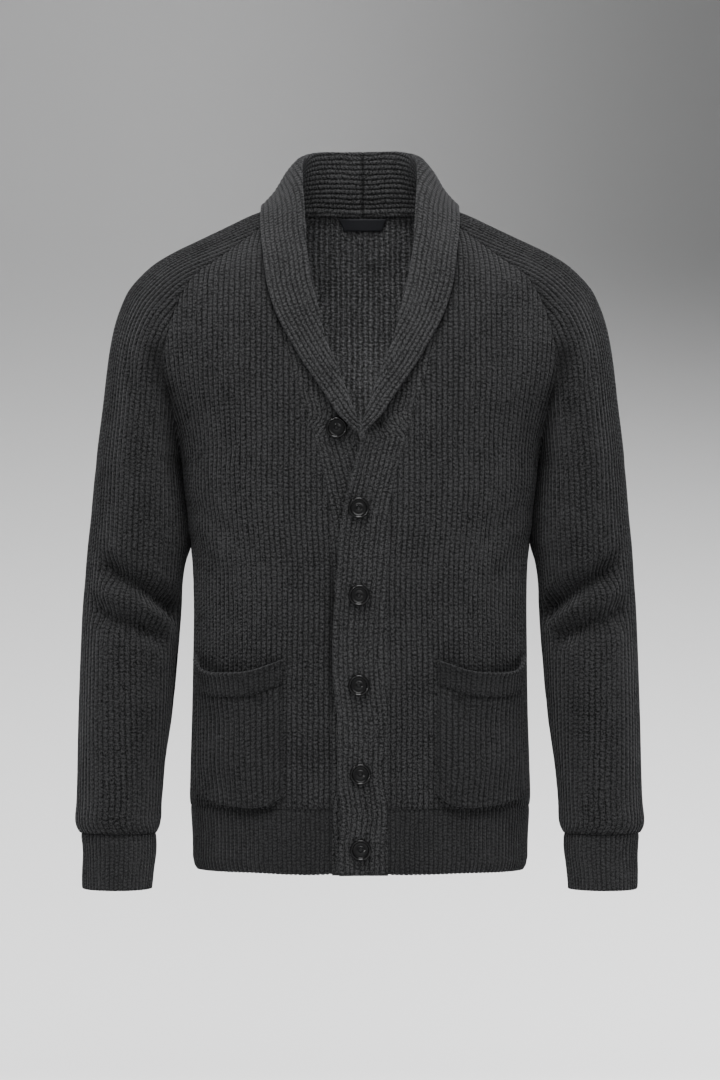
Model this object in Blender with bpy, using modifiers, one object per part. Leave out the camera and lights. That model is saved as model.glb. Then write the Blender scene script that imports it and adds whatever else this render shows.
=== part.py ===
"""Shawl collar cardigan, hollow as worn, with raglan sleeves and six buttons.

Metres, +Z up. The origin is the middle of the neck at the height of the
shoulder points. The front faces -Y and the wearer's left is +X. Each cloth
piece is a wall over a grid of points: rows run up the piece and columns follow
its ribs. The outer points stand on the rib crests and dip between them, and
the inner points are plain and wider apart.
"""

import math

import bpy
import numpy as np
from mathutils import Vector
from mathutils.bvhtree import BVHTree

COLLECTION = "shawl_collar_cardigan"

# Cloth
WALL = 0.0032              # thickness of the knit at a rib's crest
RIB_DIP = 0.0011           # how far the wall is thinner between two ribs
SEAM_GAP = 0.0003          # between pieces that are sewn together
SLANT_GAP = 0.0015         # the same, at most, where the two meet on a curve
EDGE_ROUND = 0.0013        # how far a wall's inner edge stands back from a seam
BODY_RIB = 0.0118          # width of a rib on the fronts, back and sleeves
WELT_RIB = 0.0094          # width of a rib on the waistband and cuffs
ROUNDNESS = 2.5            # exponent of the torso's rings, 2 is an ellipse

# Heights
UNDERARM_Z = -0.267
WAIST_SEAM_Z = -0.6215
HEM_Z = -0.6895
BREAK_Z = -0.240           # where the collar starts to roll

# Front overlap
LAP = 0.0024               # each front's shift, outwards on the wearer's left
LAP_BLEND = 0.050          # width over which a front takes its shift
CENTRE_BACK_X = 0.003      # the collar's own seam sits a little off centre

# Fineness of the grids
PANEL_ROWS = 10
SLEEVE_ROWS = 14
STRIP_COLUMNS = 16
STRIP_STATIONS = 20
BUTTON_STEPS = 12
SEAM_COLUMNS = 7           # inner columns kept fine where a raglan seam is steep


class Table:
    """Rows of named columns, read as smooth curves over the first column."""

    def __init__(self, columns, rows):
        names = columns.split()
        ordered = sorted(rows)
        self.key = np.array([row[0] for row in ordered])
        self.columns = {
            name: np.array([row[i] for row in ordered], float)
            for i, name in enumerate(names)
        }

    def at(self, column, place):
        """The column's value at a place, by a cubic through the rows."""
        values = self.columns[column]
        slopes = np.gradient(values, self.key)
        place = np.clip(place, self.key[0], self.key[-1])
        i = np.clip(np.searchsorted(self.key, place, "right") - 1, 0, len(values) - 2)
        step = self.key[i + 1] - self.key[i]
        t = (place - self.key[i]) / step
        blend = t * t * (3.0 - 2.0 * t)
        return (
            values[i] * (1.0 - blend)
            + values[i + 1] * blend
            + slopes[i] * step * t * (1.0 - t) ** 2
            - slopes[i + 1] * step * t * t * (1.0 - t)
        )


TORSO = Table(
    "height half_width front_depth back_depth",
    [
        (-0.700, 0.1764, 0.1165, 0.1035),
        (-0.655, 0.1768, 0.1175, 0.1045),
        (-0.620, 0.1786, 0.1190, 0.1055),
        (-0.580, 0.1780, 0.1200, 0.1045),
        (-0.535, 0.1766, 0.1205, 0.1025),
        (-0.475, 0.1753, 0.1215, 0.1000),
        (-0.405, 0.1746, 0.1235, 0.0990),
        (-0.370, 0.1760, 0.1245, 0.1000),
        (-0.349, 0.1783, 0.1250, 0.1010),
        (-0.323, 0.1812, 0.1258, 0.1030),
        (-0.283, 0.1852, 0.1265, 0.1060),
        (-0.267, 0.1862, 0.1265, 0.1070),
        (-0.218, 0.1926, 0.1255, 0.1100),
        (-0.178, 0.2025, 0.1215, 0.1110),
        (-0.126, 0.1985, 0.1125, 0.1085),
        (-0.086, 0.1827, 0.1010, 0.1020),
        (-0.050, 0.1470, 0.0860, 0.0920),
        (-0.012, 0.0945, 0.0640, 0.0790),
        (0.006, 0.0800, 0.0560, 0.0740),
    ],
)

# A ring of the sleeve runs from the front seam over the outer side to the back
# seam. Its half depth and its reach, in degrees from the outer side, say how
# round it is. From the underarm down the two seams are one.
SLEEVE = Table(
    "ring front_x front_z back_x back_z outer_x outer_z half_depth reach middle_y",
    [
        (0, 0.0945, -0.0120, 0.0800, 0.0000, 0.0880, 0.0050, 0.0590, 43, 0.0060),
        (1, 0.1080, -0.0220, 0.0940, -0.0080, 0.1120, -0.0030, 0.0630, 48, 0.0050),
        (2, 0.1260, -0.0357, 0.1140, -0.0230, 0.1370, -0.0150, 0.0680, 53, 0.0040),
        (3, 0.1470, -0.0515, 0.1380, -0.0410, 0.1650, -0.0285, 0.0730, 57, 0.0030),
        (4, 0.1700, -0.0680, 0.1630, -0.0600, 0.1950, -0.0430, 0.0770, 62, 0.0025),
        (5, 0.1827, -0.0860, 0.1790, -0.0800, 0.2185, -0.0575, 0.0785, 68, 0.0020),
        (6, 0.1927, -0.1080, 0.1900, -0.1040, 0.2385, -0.0775, 0.0785, 76, 0.0020),
        (7, 0.1985, -0.1260, 0.1970, -0.1240, 0.2480, -0.0935, 0.0780, 85, 0.0020),
        (8, 0.2020, -0.1500, 0.2020, -0.1500, 0.2575, -0.1200, 0.0770, 98, 0.0020),
        (9, 0.2025, -0.1780, 0.2025, -0.1780, 0.2640, -0.1540, 0.0750, 115, 0.0015),
        (10, 0.1930, -0.2180, 0.1930, -0.2180, 0.2695, -0.2010, 0.0730, 141, 0.0010),
        (11, 0.1875, -0.2530, 0.1875, -0.2530, 0.2755, -0.2490, 0.0715, 165, 0.0000),
        (12, 0.1870, -0.2690, 0.1870, -0.2690, 0.2772, -0.2680, 0.0710, 180, 0.0000),
        (13, 0.1845, -0.2850, 0.1845, -0.2850, 0.2790, -0.2840, 0.0705, 180, 0.0000),
        (14, 0.1802, -0.3234, 0.1802, -0.3234, 0.2825, -0.3234, 0.0695, 180, 0.0000),
        (15, 0.1790, -0.3486, 0.1790, -0.3486, 0.2852, -0.3486, 0.0680, 180, -0.0005),
        (16, 0.1826, -0.3675, 0.1826, -0.3675, 0.2867, -0.3675, 0.0665, 180, -0.0010),
        (17, 0.1859, -0.3906, 0.1859, -0.3906, 0.2882, -0.3906, 0.0650, 180, -0.0020),
        (18, 0.1875, -0.4190, 0.1875, -0.4190, 0.2903, -0.4190, 0.0635, 180, -0.0035),
        (19, 0.1922, -0.4746, 0.1922, -0.4746, 0.2924, -0.4746, 0.0605, 180, -0.0080),
        (20, 0.1978, -0.5345, 0.1978, -0.5345, 0.2940, -0.5345, 0.0570, 180, -0.0140),
        (21, 0.2043, -0.5817, 0.2043, -0.5817, 0.2947, -0.5817, 0.0540, 180, -0.0190),
        (22, 0.2075, -0.6160, 0.2075, -0.6160, 0.2955, -0.6160, 0.0520, 180, -0.0225),
        (23, 0.2082, -0.6380, 0.2082, -0.6380, 0.2972, -0.6380, 0.0515, 180, -0.0250),
        (24, 0.2112, -0.6500, 0.2112, -0.6500, 0.2938, -0.6500, 0.0480, 180, -0.0262),
    ],
)
STEEP_SHARE = 0.5          # where around the sleeve its seams turn steep
UNDERARM_RING = 12
LAST_RING = 24

CUFF = Table(
    "height inner_x outer_x half_depth middle_y",
    [
        (-0.7085, 0.2168, 0.2893, 0.0415, -0.0320),
        (-0.6900, 0.2152, 0.2896, 0.0425, -0.0305),
        (-0.6700, 0.2130, 0.2898, 0.0440, -0.0285),
        (-0.6503, 0.2125, 0.2918, 0.0460, -0.0265),
    ],
)

# Soft creases of a sleeve: (around, height) of both ends, where around is 0 at
# the outer side, 0.5 in front and 1 at the underarm, then depth and half width.
SLEEVE_CREASES = [
    ((0.27, -0.366), (0.92, -0.423), -0.0050, 0.0085),
    ((0.30, -0.387), (0.80, -0.431), 0.0034, 0.0080),
    ((0.22, -0.411), (0.72, -0.445), -0.0030, 0.0080),
    ((-0.30, -0.372), (-0.90, -0.416), -0.0044, 0.0085),
    ((-0.26, -0.394), (-0.78, -0.430), 0.0028, 0.0080),
    ((-0.24, -0.420), (-0.70, -0.452), -0.0024, 0.0080),
    ((0.34, -0.152), (0.62, -0.238), -0.0026, 0.0110),
    ((-0.36, -0.160), (-0.62, -0.240), -0.0022, 0.0110),
]

# The seam between a front and the collar, up the front edge and the neck.
NECK_SEAM = Table(
    "height x",
    [
        (-0.700, 0.0287),
        (-0.500, 0.0288),
        (-0.330, 0.0300),
        (-0.280, 0.0359),
        (-0.236, 0.0480),
        (-0.195, 0.0615),
        (-0.164, 0.0710),
        (-0.140, 0.0775),
        (-0.113, 0.0835),
        (-0.081, 0.0885),
        (-0.048, 0.0922),
        (-0.012, 0.0945),
    ],
)
FRONT_EDGE_TOP_Z = -0.330

# The free edge of the band on the wearer's left, which lies on top.
BAND_EDGE = Table(
    "height x",
    [
        (-0.700, -0.0210),
        (-0.655, -0.0212),
        (-0.627, -0.0185),
        (-0.598, -0.0226),
        (-0.530, -0.0228),
        (-0.500, -0.0262),
        (-0.475, -0.0278),
        (-0.425, -0.0272),
        (-0.390, -0.0245),
        (-0.330, -0.0200),
        (-0.280, -0.0100),
        (-0.246, -0.0012),
    ],
)

# Cross-sections of the collar from the break to the centre back. The seam is
# given as a height up to the front's tip and as a length past it from there.
# Facing is the side the roll turns to, 0 forwards and 180 backwards.
COLLAR = Table(
    "station seam facing roll_x roll_y roll_z edge_x edge_y edge_z spread",
    [
        (0, -0.246, 0, 0.0100, -0.1248, -0.2460, -0.0014, -0.1262, -0.2460, 0.0006),
        (1, -0.232, 0, 0.0052, -0.1275, -0.2320, 0.0065, -0.1325, -0.2325, 0.0030),
        (2, -0.217, 0, 0.0072, -0.1282, -0.2175, 0.0225, -0.1342, -0.2161, 0.0060),
        (3, -0.195, 0, 0.0150, -0.1262, -0.1954, 0.0348, -0.1315, -0.1970, 0.0085),
        (4, -0.164, 4, 0.0256, -0.1212, -0.1645, 0.0573, -0.1235, -0.1645, 0.0090),
        (5, -0.140, 8, 0.0355, -0.1160, -0.1398, 0.0718, -0.1178, -0.1398, 0.0095),
        (6, -0.113, 14, 0.0418, -0.1092, -0.1130, 0.0859, -0.1098, -0.1130, 0.0100),
        (7, -0.081, 24, 0.0493, -0.0985, -0.0810, 0.0958, -0.0982, -0.0810, 0.0100),
        (8, -0.048, 35, 0.0558, -0.0850, -0.0485, 0.1003, -0.0805, -0.0480, 0.0100),
        (9, -0.018, 50, 0.0585, -0.0640, -0.0190, 0.1037, -0.0510, -0.0190, 0.0100),
        (10, 0.010, 72, 0.0612, -0.0330, 0.0200, 0.1045, -0.0270, -0.0030, 0.0100),
        (11, 0.034, 95, 0.0622, 0.0040, 0.0520, 0.1045, 0.0060, 0.0055, 0.0100),
        (12, 0.074, 125, 0.0575, 0.0360, 0.0620, 0.0960, 0.0480, -0.0010, 0.0100),
        (13, 0.102, 150, 0.0460, 0.0570, 0.0660, 0.0720, 0.0725, -0.0065, 0.0100),
        (14, 0.132, 168, 0.0260, 0.0675, 0.0670, 0.0400, 0.0835, -0.0095, 0.0100),
        (15, 0.162, 180, 0.0000, 0.0710, 0.0670, 0.0000, 0.0870, -0.0100, 0.0100),
    ],
)
CENTRE_BACK_STATION = 15
BACK_NECK_DIP = 0.001      # the back neckline's drop from its ends to its middle
STAND_GAP = 0.0016         # room for the collar's foot where it stands up

# Patch pockets: their inner and outer edges as girths from the centre front.
POCKET_INNER = 0.0790
POCKET_OUTER = 0.2080
POCKET_SEWN_OUT = 0.0040   # the pocket's face off the panel where it is sewn
POCKET_BULGE = 0.0070
POCKET_MOUTH = 0.0050      # how far its mouth gapes beyond the bulge
WELT_HEIGHT = 0.0255
WELT_TURN = 0.0012         # the welt's face stands out from the pocket's
WELT_GAP = 0.001           # half the gap under the welt, in pocket heights
POCKET = Table(
    "across top bottom",
    [
        (0.00, -0.4640, -0.6065),
        (0.08, -0.4665, -0.6140),
        (0.25, -0.4725, -0.6200),
        (0.50, -0.4765, -0.6195),
        (0.75, -0.4755, -0.6160),
        (0.92, -0.4690, -0.6110),
        (1.00, -0.4640, -0.6080),
    ],
)

# A button's profile as radius and height, from the middle of its dished face
# round its rim to the middle of its back.
BUTTON_RADIUS = 0.0105
BUTTON_PROFILE = [
    (0.0, 0.0028),
    (0.0052, 0.0028),
    (0.0074, 0.0044),
    (0.0092, 0.0044),
    (BUTTON_RADIUS, 0.0028),
    (0.0088, 0.0),
    (0.0, 0.0),
]

# Buttons: whose band each lies on, and the x and height of its middle.
BUTTON_PLACES = [
    ("button_1", "right", -0.0236, -0.2295),
    ("button_2", "left", -0.0010, -0.3118),
    ("button_3", "left", -0.0006, -0.4012),
    ("button_4", "left", -0.0009, -0.4937),
    ("button_5", "left", 0.0006, -0.5850),
    ("button_6", "left", 0.0010, -0.6627),
]

# The label inside the back
LABEL_TOP_Z = -0.0052
LABEL_BOTTOM_Z = -0.0168
LABEL_THICKNESS = 0.0008

COLOURS = {
    "body": (0.028, 0.028, 0.029, 1.0),
    "sleeve": (0.027, 0.027, 0.028, 1.0),
    "rib": (0.024, 0.024, 0.025, 1.0),
    "collar": (0.040, 0.040, 0.041, 1.0),
    "pocket": (0.026, 0.026, 0.027, 1.0),
    "button": (0.008, 0.008, 0.009, 1.0),
    "label": (0.014, 0.015, 0.020, 1.0),
}


def smoothstep(low, high, value):
    t = np.clip((value - low) / (high - low), 0.0, 1.0)
    return t * t * (3.0 - 2.0 * t)


def power(value, exponent):
    return np.abs(value) ** exponent


# ------------------------------------------------------------- the torso
def seam_table(side):
    """The raglan seam's x and y over its height, on the front or the back."""
    rings = slice(0, UNDERARM_RING + 1)
    heights = SLEEVE.columns[f"{side}_z"][rings]
    xs = SLEEVE.columns[f"{side}_x"][rings]
    reach = np.radians(SLEEVE.columns["reach"][rings])
    depth = SLEEVE.columns["half_depth"][rings] * np.sin(reach)
    facing = -1.0 if side == "front" else 1.0
    ys = SLEEVE.columns["middle_y"][rings] + facing * depth
    return Table("height x y", list(zip(heights, xs, ys)))


RAGLAN = {side: seam_table(side) for side in ("front", "back")}


class Ring:
    """A quarter of the torso's outline at one height, on the front or back."""

    SAMPLES = 121

    def __init__(self, side, height, inset=0.0):
        self.side = side
        self.depth = float(TORSO.at(f"{side}_depth", height)) - inset
        half_width = float(TORSO.at("half_width", height)) - inset
        end = 0.5 * math.pi
        if height > UNDERARM_Z:
            seam = RAGLAN[side]
            across = float(seam.at("x", height))
            out = abs(float(seam.at("y", height)))
            share = power(out / self.depth, ROUNDNESS)
            half_width = across / (1.0 - share) ** (1.0 / ROUNDNESS)
            end = math.asin(power(across / half_width, 0.5 * ROUNDNESS))
        angle = np.linspace(0.0, end, self.SAMPLES)
        self.x = half_width * power(np.sin(angle), 2.0 / ROUNDNESS)
        self.y = self.depth * power(np.cos(angle), 2.0 / ROUNDNESS)
        steps = np.hypot(np.diff(self.x), np.diff(self.y))
        self.girths = np.concatenate([[0.0], np.cumsum(steps)])
        self.reach = self.girths[-1]

    def point(self, girth):
        """x and y at a girth from the centre line."""
        x = np.interp(girth, self.girths, self.x)
        y = np.interp(girth, self.girths, self.y)
        return x, -y if self.side == "front" else y

    def girth_at(self, x):
        return float(np.interp(x, self.x, self.girths))


def lap_shift(x, height, wearer):
    """How far a front moves forwards, so that the bands lie on each other."""
    amount = LAP if wearer == "left" else -LAP
    near_edge = 1.0 - smoothstep(0.030, 0.030 + LAP_BLEND, x)
    below_break = 1.0 - smoothstep(BREAK_Z - 0.004, BREAK_Z + 0.041, height)
    return amount * near_edge * below_break


def front_point(x, height, wearer, inset=0.0):
    """A point of the front's outer surface, for x on either side of 0."""
    ring = Ring("front", height, inset)
    _, y = ring.point(ring.girth_at(abs(x)))
    return np.array([x, y - lap_shift(x, height, wearer), height])


def neck_x(height):
    return float(NECK_SEAM.at("x", height))


def widest_reach(side):
    """The greatest girth from the centre line to the raglan seam."""
    heights = np.linspace(UNDERARM_Z + 0.002, UNDERARM_Z + 0.17, 60)
    reaches = [Ring(side, h).reach for h in heights]
    best = int(np.argmax(reaches))
    return reaches[best], heights[best]


def back_neck_height(x):
    end = SLEEVE.columns["back_x"][0]
    return SLEEVE.columns["back_z"][0] - BACK_NECK_DIP * (1.0 - (x / end) ** 2)


def panel_grid(side, wearer, columns, rows):
    """Rows of points up a front or half of the back, from edge to side."""
    widest, widest_z = widest_reach(side)
    front = side == "front"
    base = WAIST_SEAM_Z + 0.5 * SEAM_GAP
    tip = SLEEVE.columns[f"{side}_z"][0]

    def edge(height):
        if not front:
            return 0.0
        return neck_x(min(height, FRONT_EDGE_TOP_Z)) + 0.5 * SLANT_GAP

    def girth(share, height, ring):
        reach = ring.reach if height < widest_z else widest
        gap = SLANT_GAP if height > UNDERARM_Z else SEAM_GAP
        low = edge(height)
        return low + share * (reach - 0.5 * gap - low)

    def inside(share, height):
        ring = Ring(side, height)
        g = girth(share, height, ring)
        if g > ring.reach - 0.49 * SLANT_GAP and height > UNDERARM_Z:
            return False
        x, _ = ring.point(g)
        if front:
            return x > neck_x(height) + 0.49 * SLANT_GAP
        return height < back_neck_height(x) - 0.5 * SLANT_GAP

    points = np.zeros((rows + 1, columns + 1, 3))
    for j in range(columns + 1):
        share = j / columns
        low, high = FRONT_EDGE_TOP_Z - 0.01, tip + 0.004
        if share == 0.0 and front:
            low = high = FRONT_EDGE_TOP_Z
        elif share == 1.0:
            low = high = widest_z
        for _ in range(22):
            middle = 0.5 * (low + high)
            if inside(share, middle):
                low = middle
            else:
                high = middle
        for i in range(rows + 1):
            height = base + (low - base) * i / rows
            ring = Ring(side, height)
            x, y = ring.point(girth(share, height, ring))
            if front:
                y -= lap_shift(x, height, wearer)
            points[i, j] = x, y, height
    return points


def mirrored(points):
    """The same grid on the other side of the body, its columns turned round."""
    return points[:, ::-1] * np.array([-1.0, 1.0, 1.0])


def waistband_grid(side, wearer, columns, rows):
    """A ring of ribbing under a panel, drawn in a little from it."""
    inset = 0.0020
    top = WAIST_SEAM_Z - 0.5 * SEAM_GAP
    points = np.zeros((rows + 1, columns + 1, 3))
    for i in range(rows + 1):
        height = HEM_Z + (top - HEM_Z) * i / rows
        ring = Ring(side, height, inset)
        low = neck_x(height) + 0.5 * SLANT_GAP if side == "front" else 0.0
        girths = np.linspace(low, ring.reach - 0.5 * SEAM_GAP, columns + 1)
        x, y = ring.point(girths)
        if side == "front":
            y = y - lap_shift(x, height, wearer)
        points[i] = np.stack([x, y, np.full_like(x, height)], axis=1)
    return points


# ------------------------------------------------------------- the sleeves
class SleeveRing:
    """One outline of the sleeve, from the front seam to the back seam."""

    SAMPLES = 181

    def __init__(self, station):
        value = {name: float(SLEEVE.at(name, station)) for name in SLEEVE.columns}
        front = np.array([value["front_x"], 0.0, value["front_z"]])
        back = np.array([value["back_x"], 0.0, value["back_z"]])
        outer = np.array([value["outer_x"], 0.0, value["outer_z"]])
        closed = station >= UNDERARM_RING
        reach = math.pi if closed else math.radians(value["reach"])
        angle = np.linspace(-reach, reach, self.SAMPLES)
        rise = (np.cos(angle) - math.cos(reach)) / (1.0 - math.cos(reach))
        lean = angle / reach
        middle = 0.5 * (front + back)
        self.points = (
            middle
            + rise[:, None] * (outer - middle)
            + lean[:, None] * 0.5 * (front - back)
        )
        self.points[:, 1] = value["middle_y"] - value["half_depth"] * np.sin(angle)
        if closed:
            dent = 0.0034 * smoothstep(-0.372, -0.345, -abs(outer[2] + 0.308) - 0.308)
            at_side = np.exp(-(((self.points[:, 1] - 0.004) / 0.020) ** 2))
            inner = smoothstep(0.6, 0.9, np.abs(lean))
            self.points[:, 0] += dent * at_side * inner
        steps = np.linalg.norm(np.diff(self.points, axis=0), axis=1)
        along = np.concatenate([[0.0], np.cumsum(steps)])
        top = np.interp(0.0, angle, along)
        self.girths = along - top
        self.low, self.high = self.girths[0], self.girths[-1]

    def point(self, girth):
        """The point at a girth from the outer side, the front side positive."""
        return np.stack(
            [np.interp(girth, self.girths, self.points[:, k]) for k in range(3)], -1
        )


def sleeve_end(share):
    """The station where a column of the sleeve meets its raglan seam."""
    full = SleeveRing(UNDERARM_RING)
    wanted = share * (full.high if share > 0 else -full.low)
    low, high = 0.0, float(UNDERARM_RING)
    for _ in range(24):
        middle = 0.5 * (low + high)
        ring = SleeveRing(middle)
        limit = ring.high if share > 0 else -ring.low
        if limit - 0.5 * SLANT_GAP > abs(wanted):
            high = middle
        else:
            low = middle
    return high


def sleeve_grid(columns, rows):
    """Rows of points from the cuff to the raglan seams, front side last."""
    full = SleeveRing(UNDERARM_RING)
    points = np.zeros((rows + 1, columns + 1, 3))
    around = np.linspace(-1.0, 1.0, columns + 1)
    for j, share in enumerate(around):
        end = sleeve_end(share)
        side_girth = full.high if share > 0 else -full.low
        for i in range(rows + 1):
            station = LAST_RING + (end - LAST_RING) * i / rows
            ring = SleeveRing(station)
            if station >= UNDERARM_RING:
                limit = ring.high if share > 0 else -ring.low
                girth = share * (limit - 0.5 * SEAM_GAP)
            else:
                girth = share * (side_girth - 0.5 * SEAM_GAP)
            points[i, j] = ring.point(girth)
    return points, around


def crease_depth(around, height):
    """The outward shift of the sleeve's creases at each point of its grid."""
    total = np.zeros_like(height)
    for (u0, z0), (u1, z1), depth, half_width in SLEEVE_CREASES:
        t = np.clip((around - u0) / (u1 - u0), 0.0, 1.0)
        line = z0 + (z1 - z0) * t
        within = smoothstep(0.0, 0.22, t) * (1.0 - smoothstep(0.80, 1.0, t))
        total += depth * within * np.exp(-(((height - line) / half_width) ** 2))
    return total


def cuff_grid(columns, rows):
    points = np.zeros((rows + 1, columns + 1, 3))
    heights = np.linspace(CUFF.key[0], CUFF.key[-1], rows + 1)
    for i, height in enumerate(heights):
        inner, outer = CUFF.at("inner_x", height), CUFF.at("outer_x", height)
        depth = CUFF.at("half_depth", height)
        middle_y = CUFF.at("middle_y", height)
        turn = np.linspace(-math.pi, math.pi, 181)
        ring = np.stack(
            [
                0.5 * (inner + outer) + 0.5 * (outer - inner) * np.cos(turn),
                middle_y - depth * np.sin(turn),
                np.full_like(turn, height),
            ],
            axis=1,
        )
        steps = np.linalg.norm(np.diff(ring, axis=0), axis=1)
        along = np.concatenate([[0.0], np.cumsum(steps)])
        places = np.linspace(0.5 * SEAM_GAP, along[-1] - 0.5 * SEAM_GAP, columns + 1)
        points[i] = np.stack([np.interp(places, along, ring[:, k]) for k in range(3)], 1)
    return points


# ------------------------------------------------------------- the collar
def neckline(seam, wearer):
    """The middle of the cloth on the neck seam: a height or a length past it."""
    tip = SLEEVE.columns["front_z"][0]
    if seam <= tip:
        point = front_point(neck_x(seam), seam, wearer)
        point[1] += 0.5 * WALL
        return point
    top = SleeveRing(0)
    length = seam - tip
    whole = top.high - top.low
    if length <= whole:
        point = top.point(top.high - length)
        return point - np.array([0.0, 0.0, 0.5 * WALL])
    ring = Ring("back", SLEEVE.columns["back_z"][0])
    girth = max(ring.reach - (length - whole), 0.0)
    x, y = ring.point(girth)
    return np.array([x, y - 0.5 * WALL, back_neck_height(x)])


def resampled(curve, shares):
    steps = np.linalg.norm(np.diff(curve, axis=0), axis=1)
    along = np.concatenate([[0.0], np.cumsum(steps)])
    return np.stack(
        [np.interp(shares * along[-1], along, curve[:, k]) for k in range(3)], axis=1
    )


def collar_section(station, wearer, columns):
    """Points across the collar, from its seam over the roll to its edge."""
    value = {name: float(COLLAR.at(name, station)) for name in COLLAR.columns}
    seam = neckline(value["seam"], wearer)
    roll = np.array([value["roll_x"], value["roll_y"], value["roll_z"]])
    edge = np.array([value["edge_x"], value["edge_y"], value["edge_z"]])
    turn = math.radians(value["facing"])
    out = np.array([math.sin(turn), -math.cos(turn), 0.0])
    lift = 1.0 - smoothstep(0.0, 3.0, station)
    roll[1] -= lift * (LAP if wearer == "left" else -LAP)
    edge[1] -= lift * (LAP if wearer == "left" else -LAP)
    near_back = smoothstep(13.0, float(CENTRE_BACK_STATION), station)
    shift = CENTRE_BACK_X if wearer == "left" else -CENTRE_BACK_X
    for point in (seam, roll, edge):
        point[0] += near_back * shift
    middle = (8.0 * roll - seam - edge) / 6.0
    start = middle - value["spread"] * out
    finish = middle + value["spread"] * out
    t = np.linspace(0.0, 1.0, 121)[:, None]
    curve = (
        (1 - t) ** 3 * seam
        + 3 * t * (1 - t) ** 2 * start
        + 3 * t * t * (1 - t) * finish
        + t**3 * edge
    )
    length = np.linalg.norm(np.diff(curve, axis=0), axis=1).sum()
    bend = smoothstep(2.5, 6.0, station)
    first = (0.5 * SLANT_GAP + STAND_GAP * bend) / length
    return resampled(curve, np.linspace(first, 1.0, columns + 1))


def band_section(height, wearer, columns):
    """Points across the flat band, from its seam to its free edge."""
    start = neck_x(height) - 0.5 * SLANT_GAP
    end = float(BAND_EDGE.at("x", height))
    xs = np.linspace(start, end, columns + 1)
    points = np.array([front_point(x, height, wearer) for x in xs])
    points[:, 1] += 0.5 * WALL
    return points


def strip_grid(wearer, columns, heights, stations):
    """The middle surface of the band and collar, from the hem to the back."""
    rows = [band_section(height, wearer, columns) for height in heights]
    rows += [collar_section(station, wearer, columns) for station in stations]
    grid = np.array(rows)
    if wearer == "left":
        grid[-1, :, 0] = CENTRE_BACK_X + 0.5 * SEAM_GAP
    else:
        grid[-1, :, 0] = -CENTRE_BACK_X + 0.5 * SEAM_GAP
    return grid


# ------------------------------------------------------------- meshes
def normals_of(points):
    """Unit normals of a grid: along its rows crossed with up its columns."""
    along = np.gradient(points, axis=1)
    up = np.gradient(points, axis=0)
    normal = np.cross(along, up)
    return normal / np.maximum(np.linalg.norm(normal, axis=2, keepdims=True), 1e-12)


def coarse(count, step, fine=()):
    """Indices from 0 to count in even steps, and all of them in fine spans."""
    pieces = max(1, round(count / step))
    chosen = {round(k * count / pieces) for k in range(pieces + 1)}
    for first, last in fine:
        chosen = {k for k in chosen if not first < k < last}
        chosen |= set(range(max(first, 0), min(last, count) + 1))
    return sorted(chosen)


def strip_faces(rough, fine_loop, rough_loop):
    """Triangles between a fine row of points and a rougher one beside it."""
    faces = []
    for a, b in zip(range(len(rough) - 1), range(1, len(rough))):
        first, last = rough[a], rough[b]
        middle = (first + last) // 2
        for k in range(first, last):
            near = rough_loop[a] if k < middle else rough_loop[b]
            faces.append((fine_loop[k + 1], fine_loop[k], near))
        faces.append((fine_loop[middle], rough_loop[a], rough_loop[b]))
    return faces


def turned(triangles):
    """The same triangles seen from their other side."""
    return [(c, b, a) for a, b, c in triangles]


def add_material(thing, kind):
    material = bpy.data.materials.get(kind)
    if material is None:
        material = bpy.data.materials.new(kind)
        material.use_nodes = True
        shader = material.node_tree.nodes["Principled BSDF"]
        shader.inputs["Base Color"].default_value = COLOURS[kind]
        shader.inputs["Roughness"].default_value = 0.3 if kind == "button" else 0.95
        shader.inputs["Metallic"].default_value = 0.0
    thing.data.materials.append(material)


def add_object(name, vertices, faces, kind):
    mesh = bpy.data.meshes.new(name)
    mesh.from_pydata([tuple(v) for v in vertices], [], faces)
    mesh.update()
    thing = bpy.data.objects.new(name, mesh)
    bpy.data.collections[COLLECTION].objects.link(thing)
    add_material(thing, kind)
    return thing


def add_wall(name, outer, inner, rough_rows, rough_columns, kind):
    """A closed wall between a fine outer grid and a rougher inner one."""
    rows, columns = outer.shape[0], outer.shape[1]
    inner = inner[np.ix_(rough_rows, rough_columns)]
    vertices = np.concatenate([outer.reshape(-1, 3), inner.reshape(-1, 3)])
    index = np.arange(rows * columns).reshape(rows, columns)
    start = rows * columns
    low = start + np.arange(inner.shape[0] * inner.shape[1]).reshape(inner.shape[:2])
    faces = []
    for i in range(rows - 1):
        for j in range(columns - 1):
            faces.append(
                (index[i, j], index[i, j + 1], index[i + 1, j + 1], index[i + 1, j])
            )
    for i in range(low.shape[0] - 1):
        for j in range(low.shape[1] - 1):
            faces.append((low[i, j], low[i + 1, j], low[i + 1, j + 1], low[i, j + 1]))
    faces += strip_faces(rough_columns, index[0], low[0])
    faces += turned(strip_faces(rough_columns, index[-1], low[-1]))
    faces += turned(strip_faces(rough_rows, index[:, 0], low[:, 0]))
    faces += strip_faces(rough_rows, index[:, -1], low[:, -1])
    faces = [tuple(int(k) for k in face) for face in faces]
    return add_object(name, vertices, faces, kind)


def rib_dips(columns):
    """0 on the ribs' crests and the dip between them, column by column."""
    return -RIB_DIP * (np.arange(columns + 1) % 2)


def set_back(grid, amount):
    """Moves a grid's four edges inwards, each towards the next row in."""
    grid = grid.copy()
    for rows in (grid, grid.swapaxes(0, 1)):
        for edge, neighbour in ((0, 1), (-1, -2)):
            inwards = rows[neighbour] - rows[edge]
            length = np.linalg.norm(inwards, axis=1, keepdims=True)
            rows[edge] += inwards / length * np.minimum(amount, 0.4 * length)
    return grid


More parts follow.
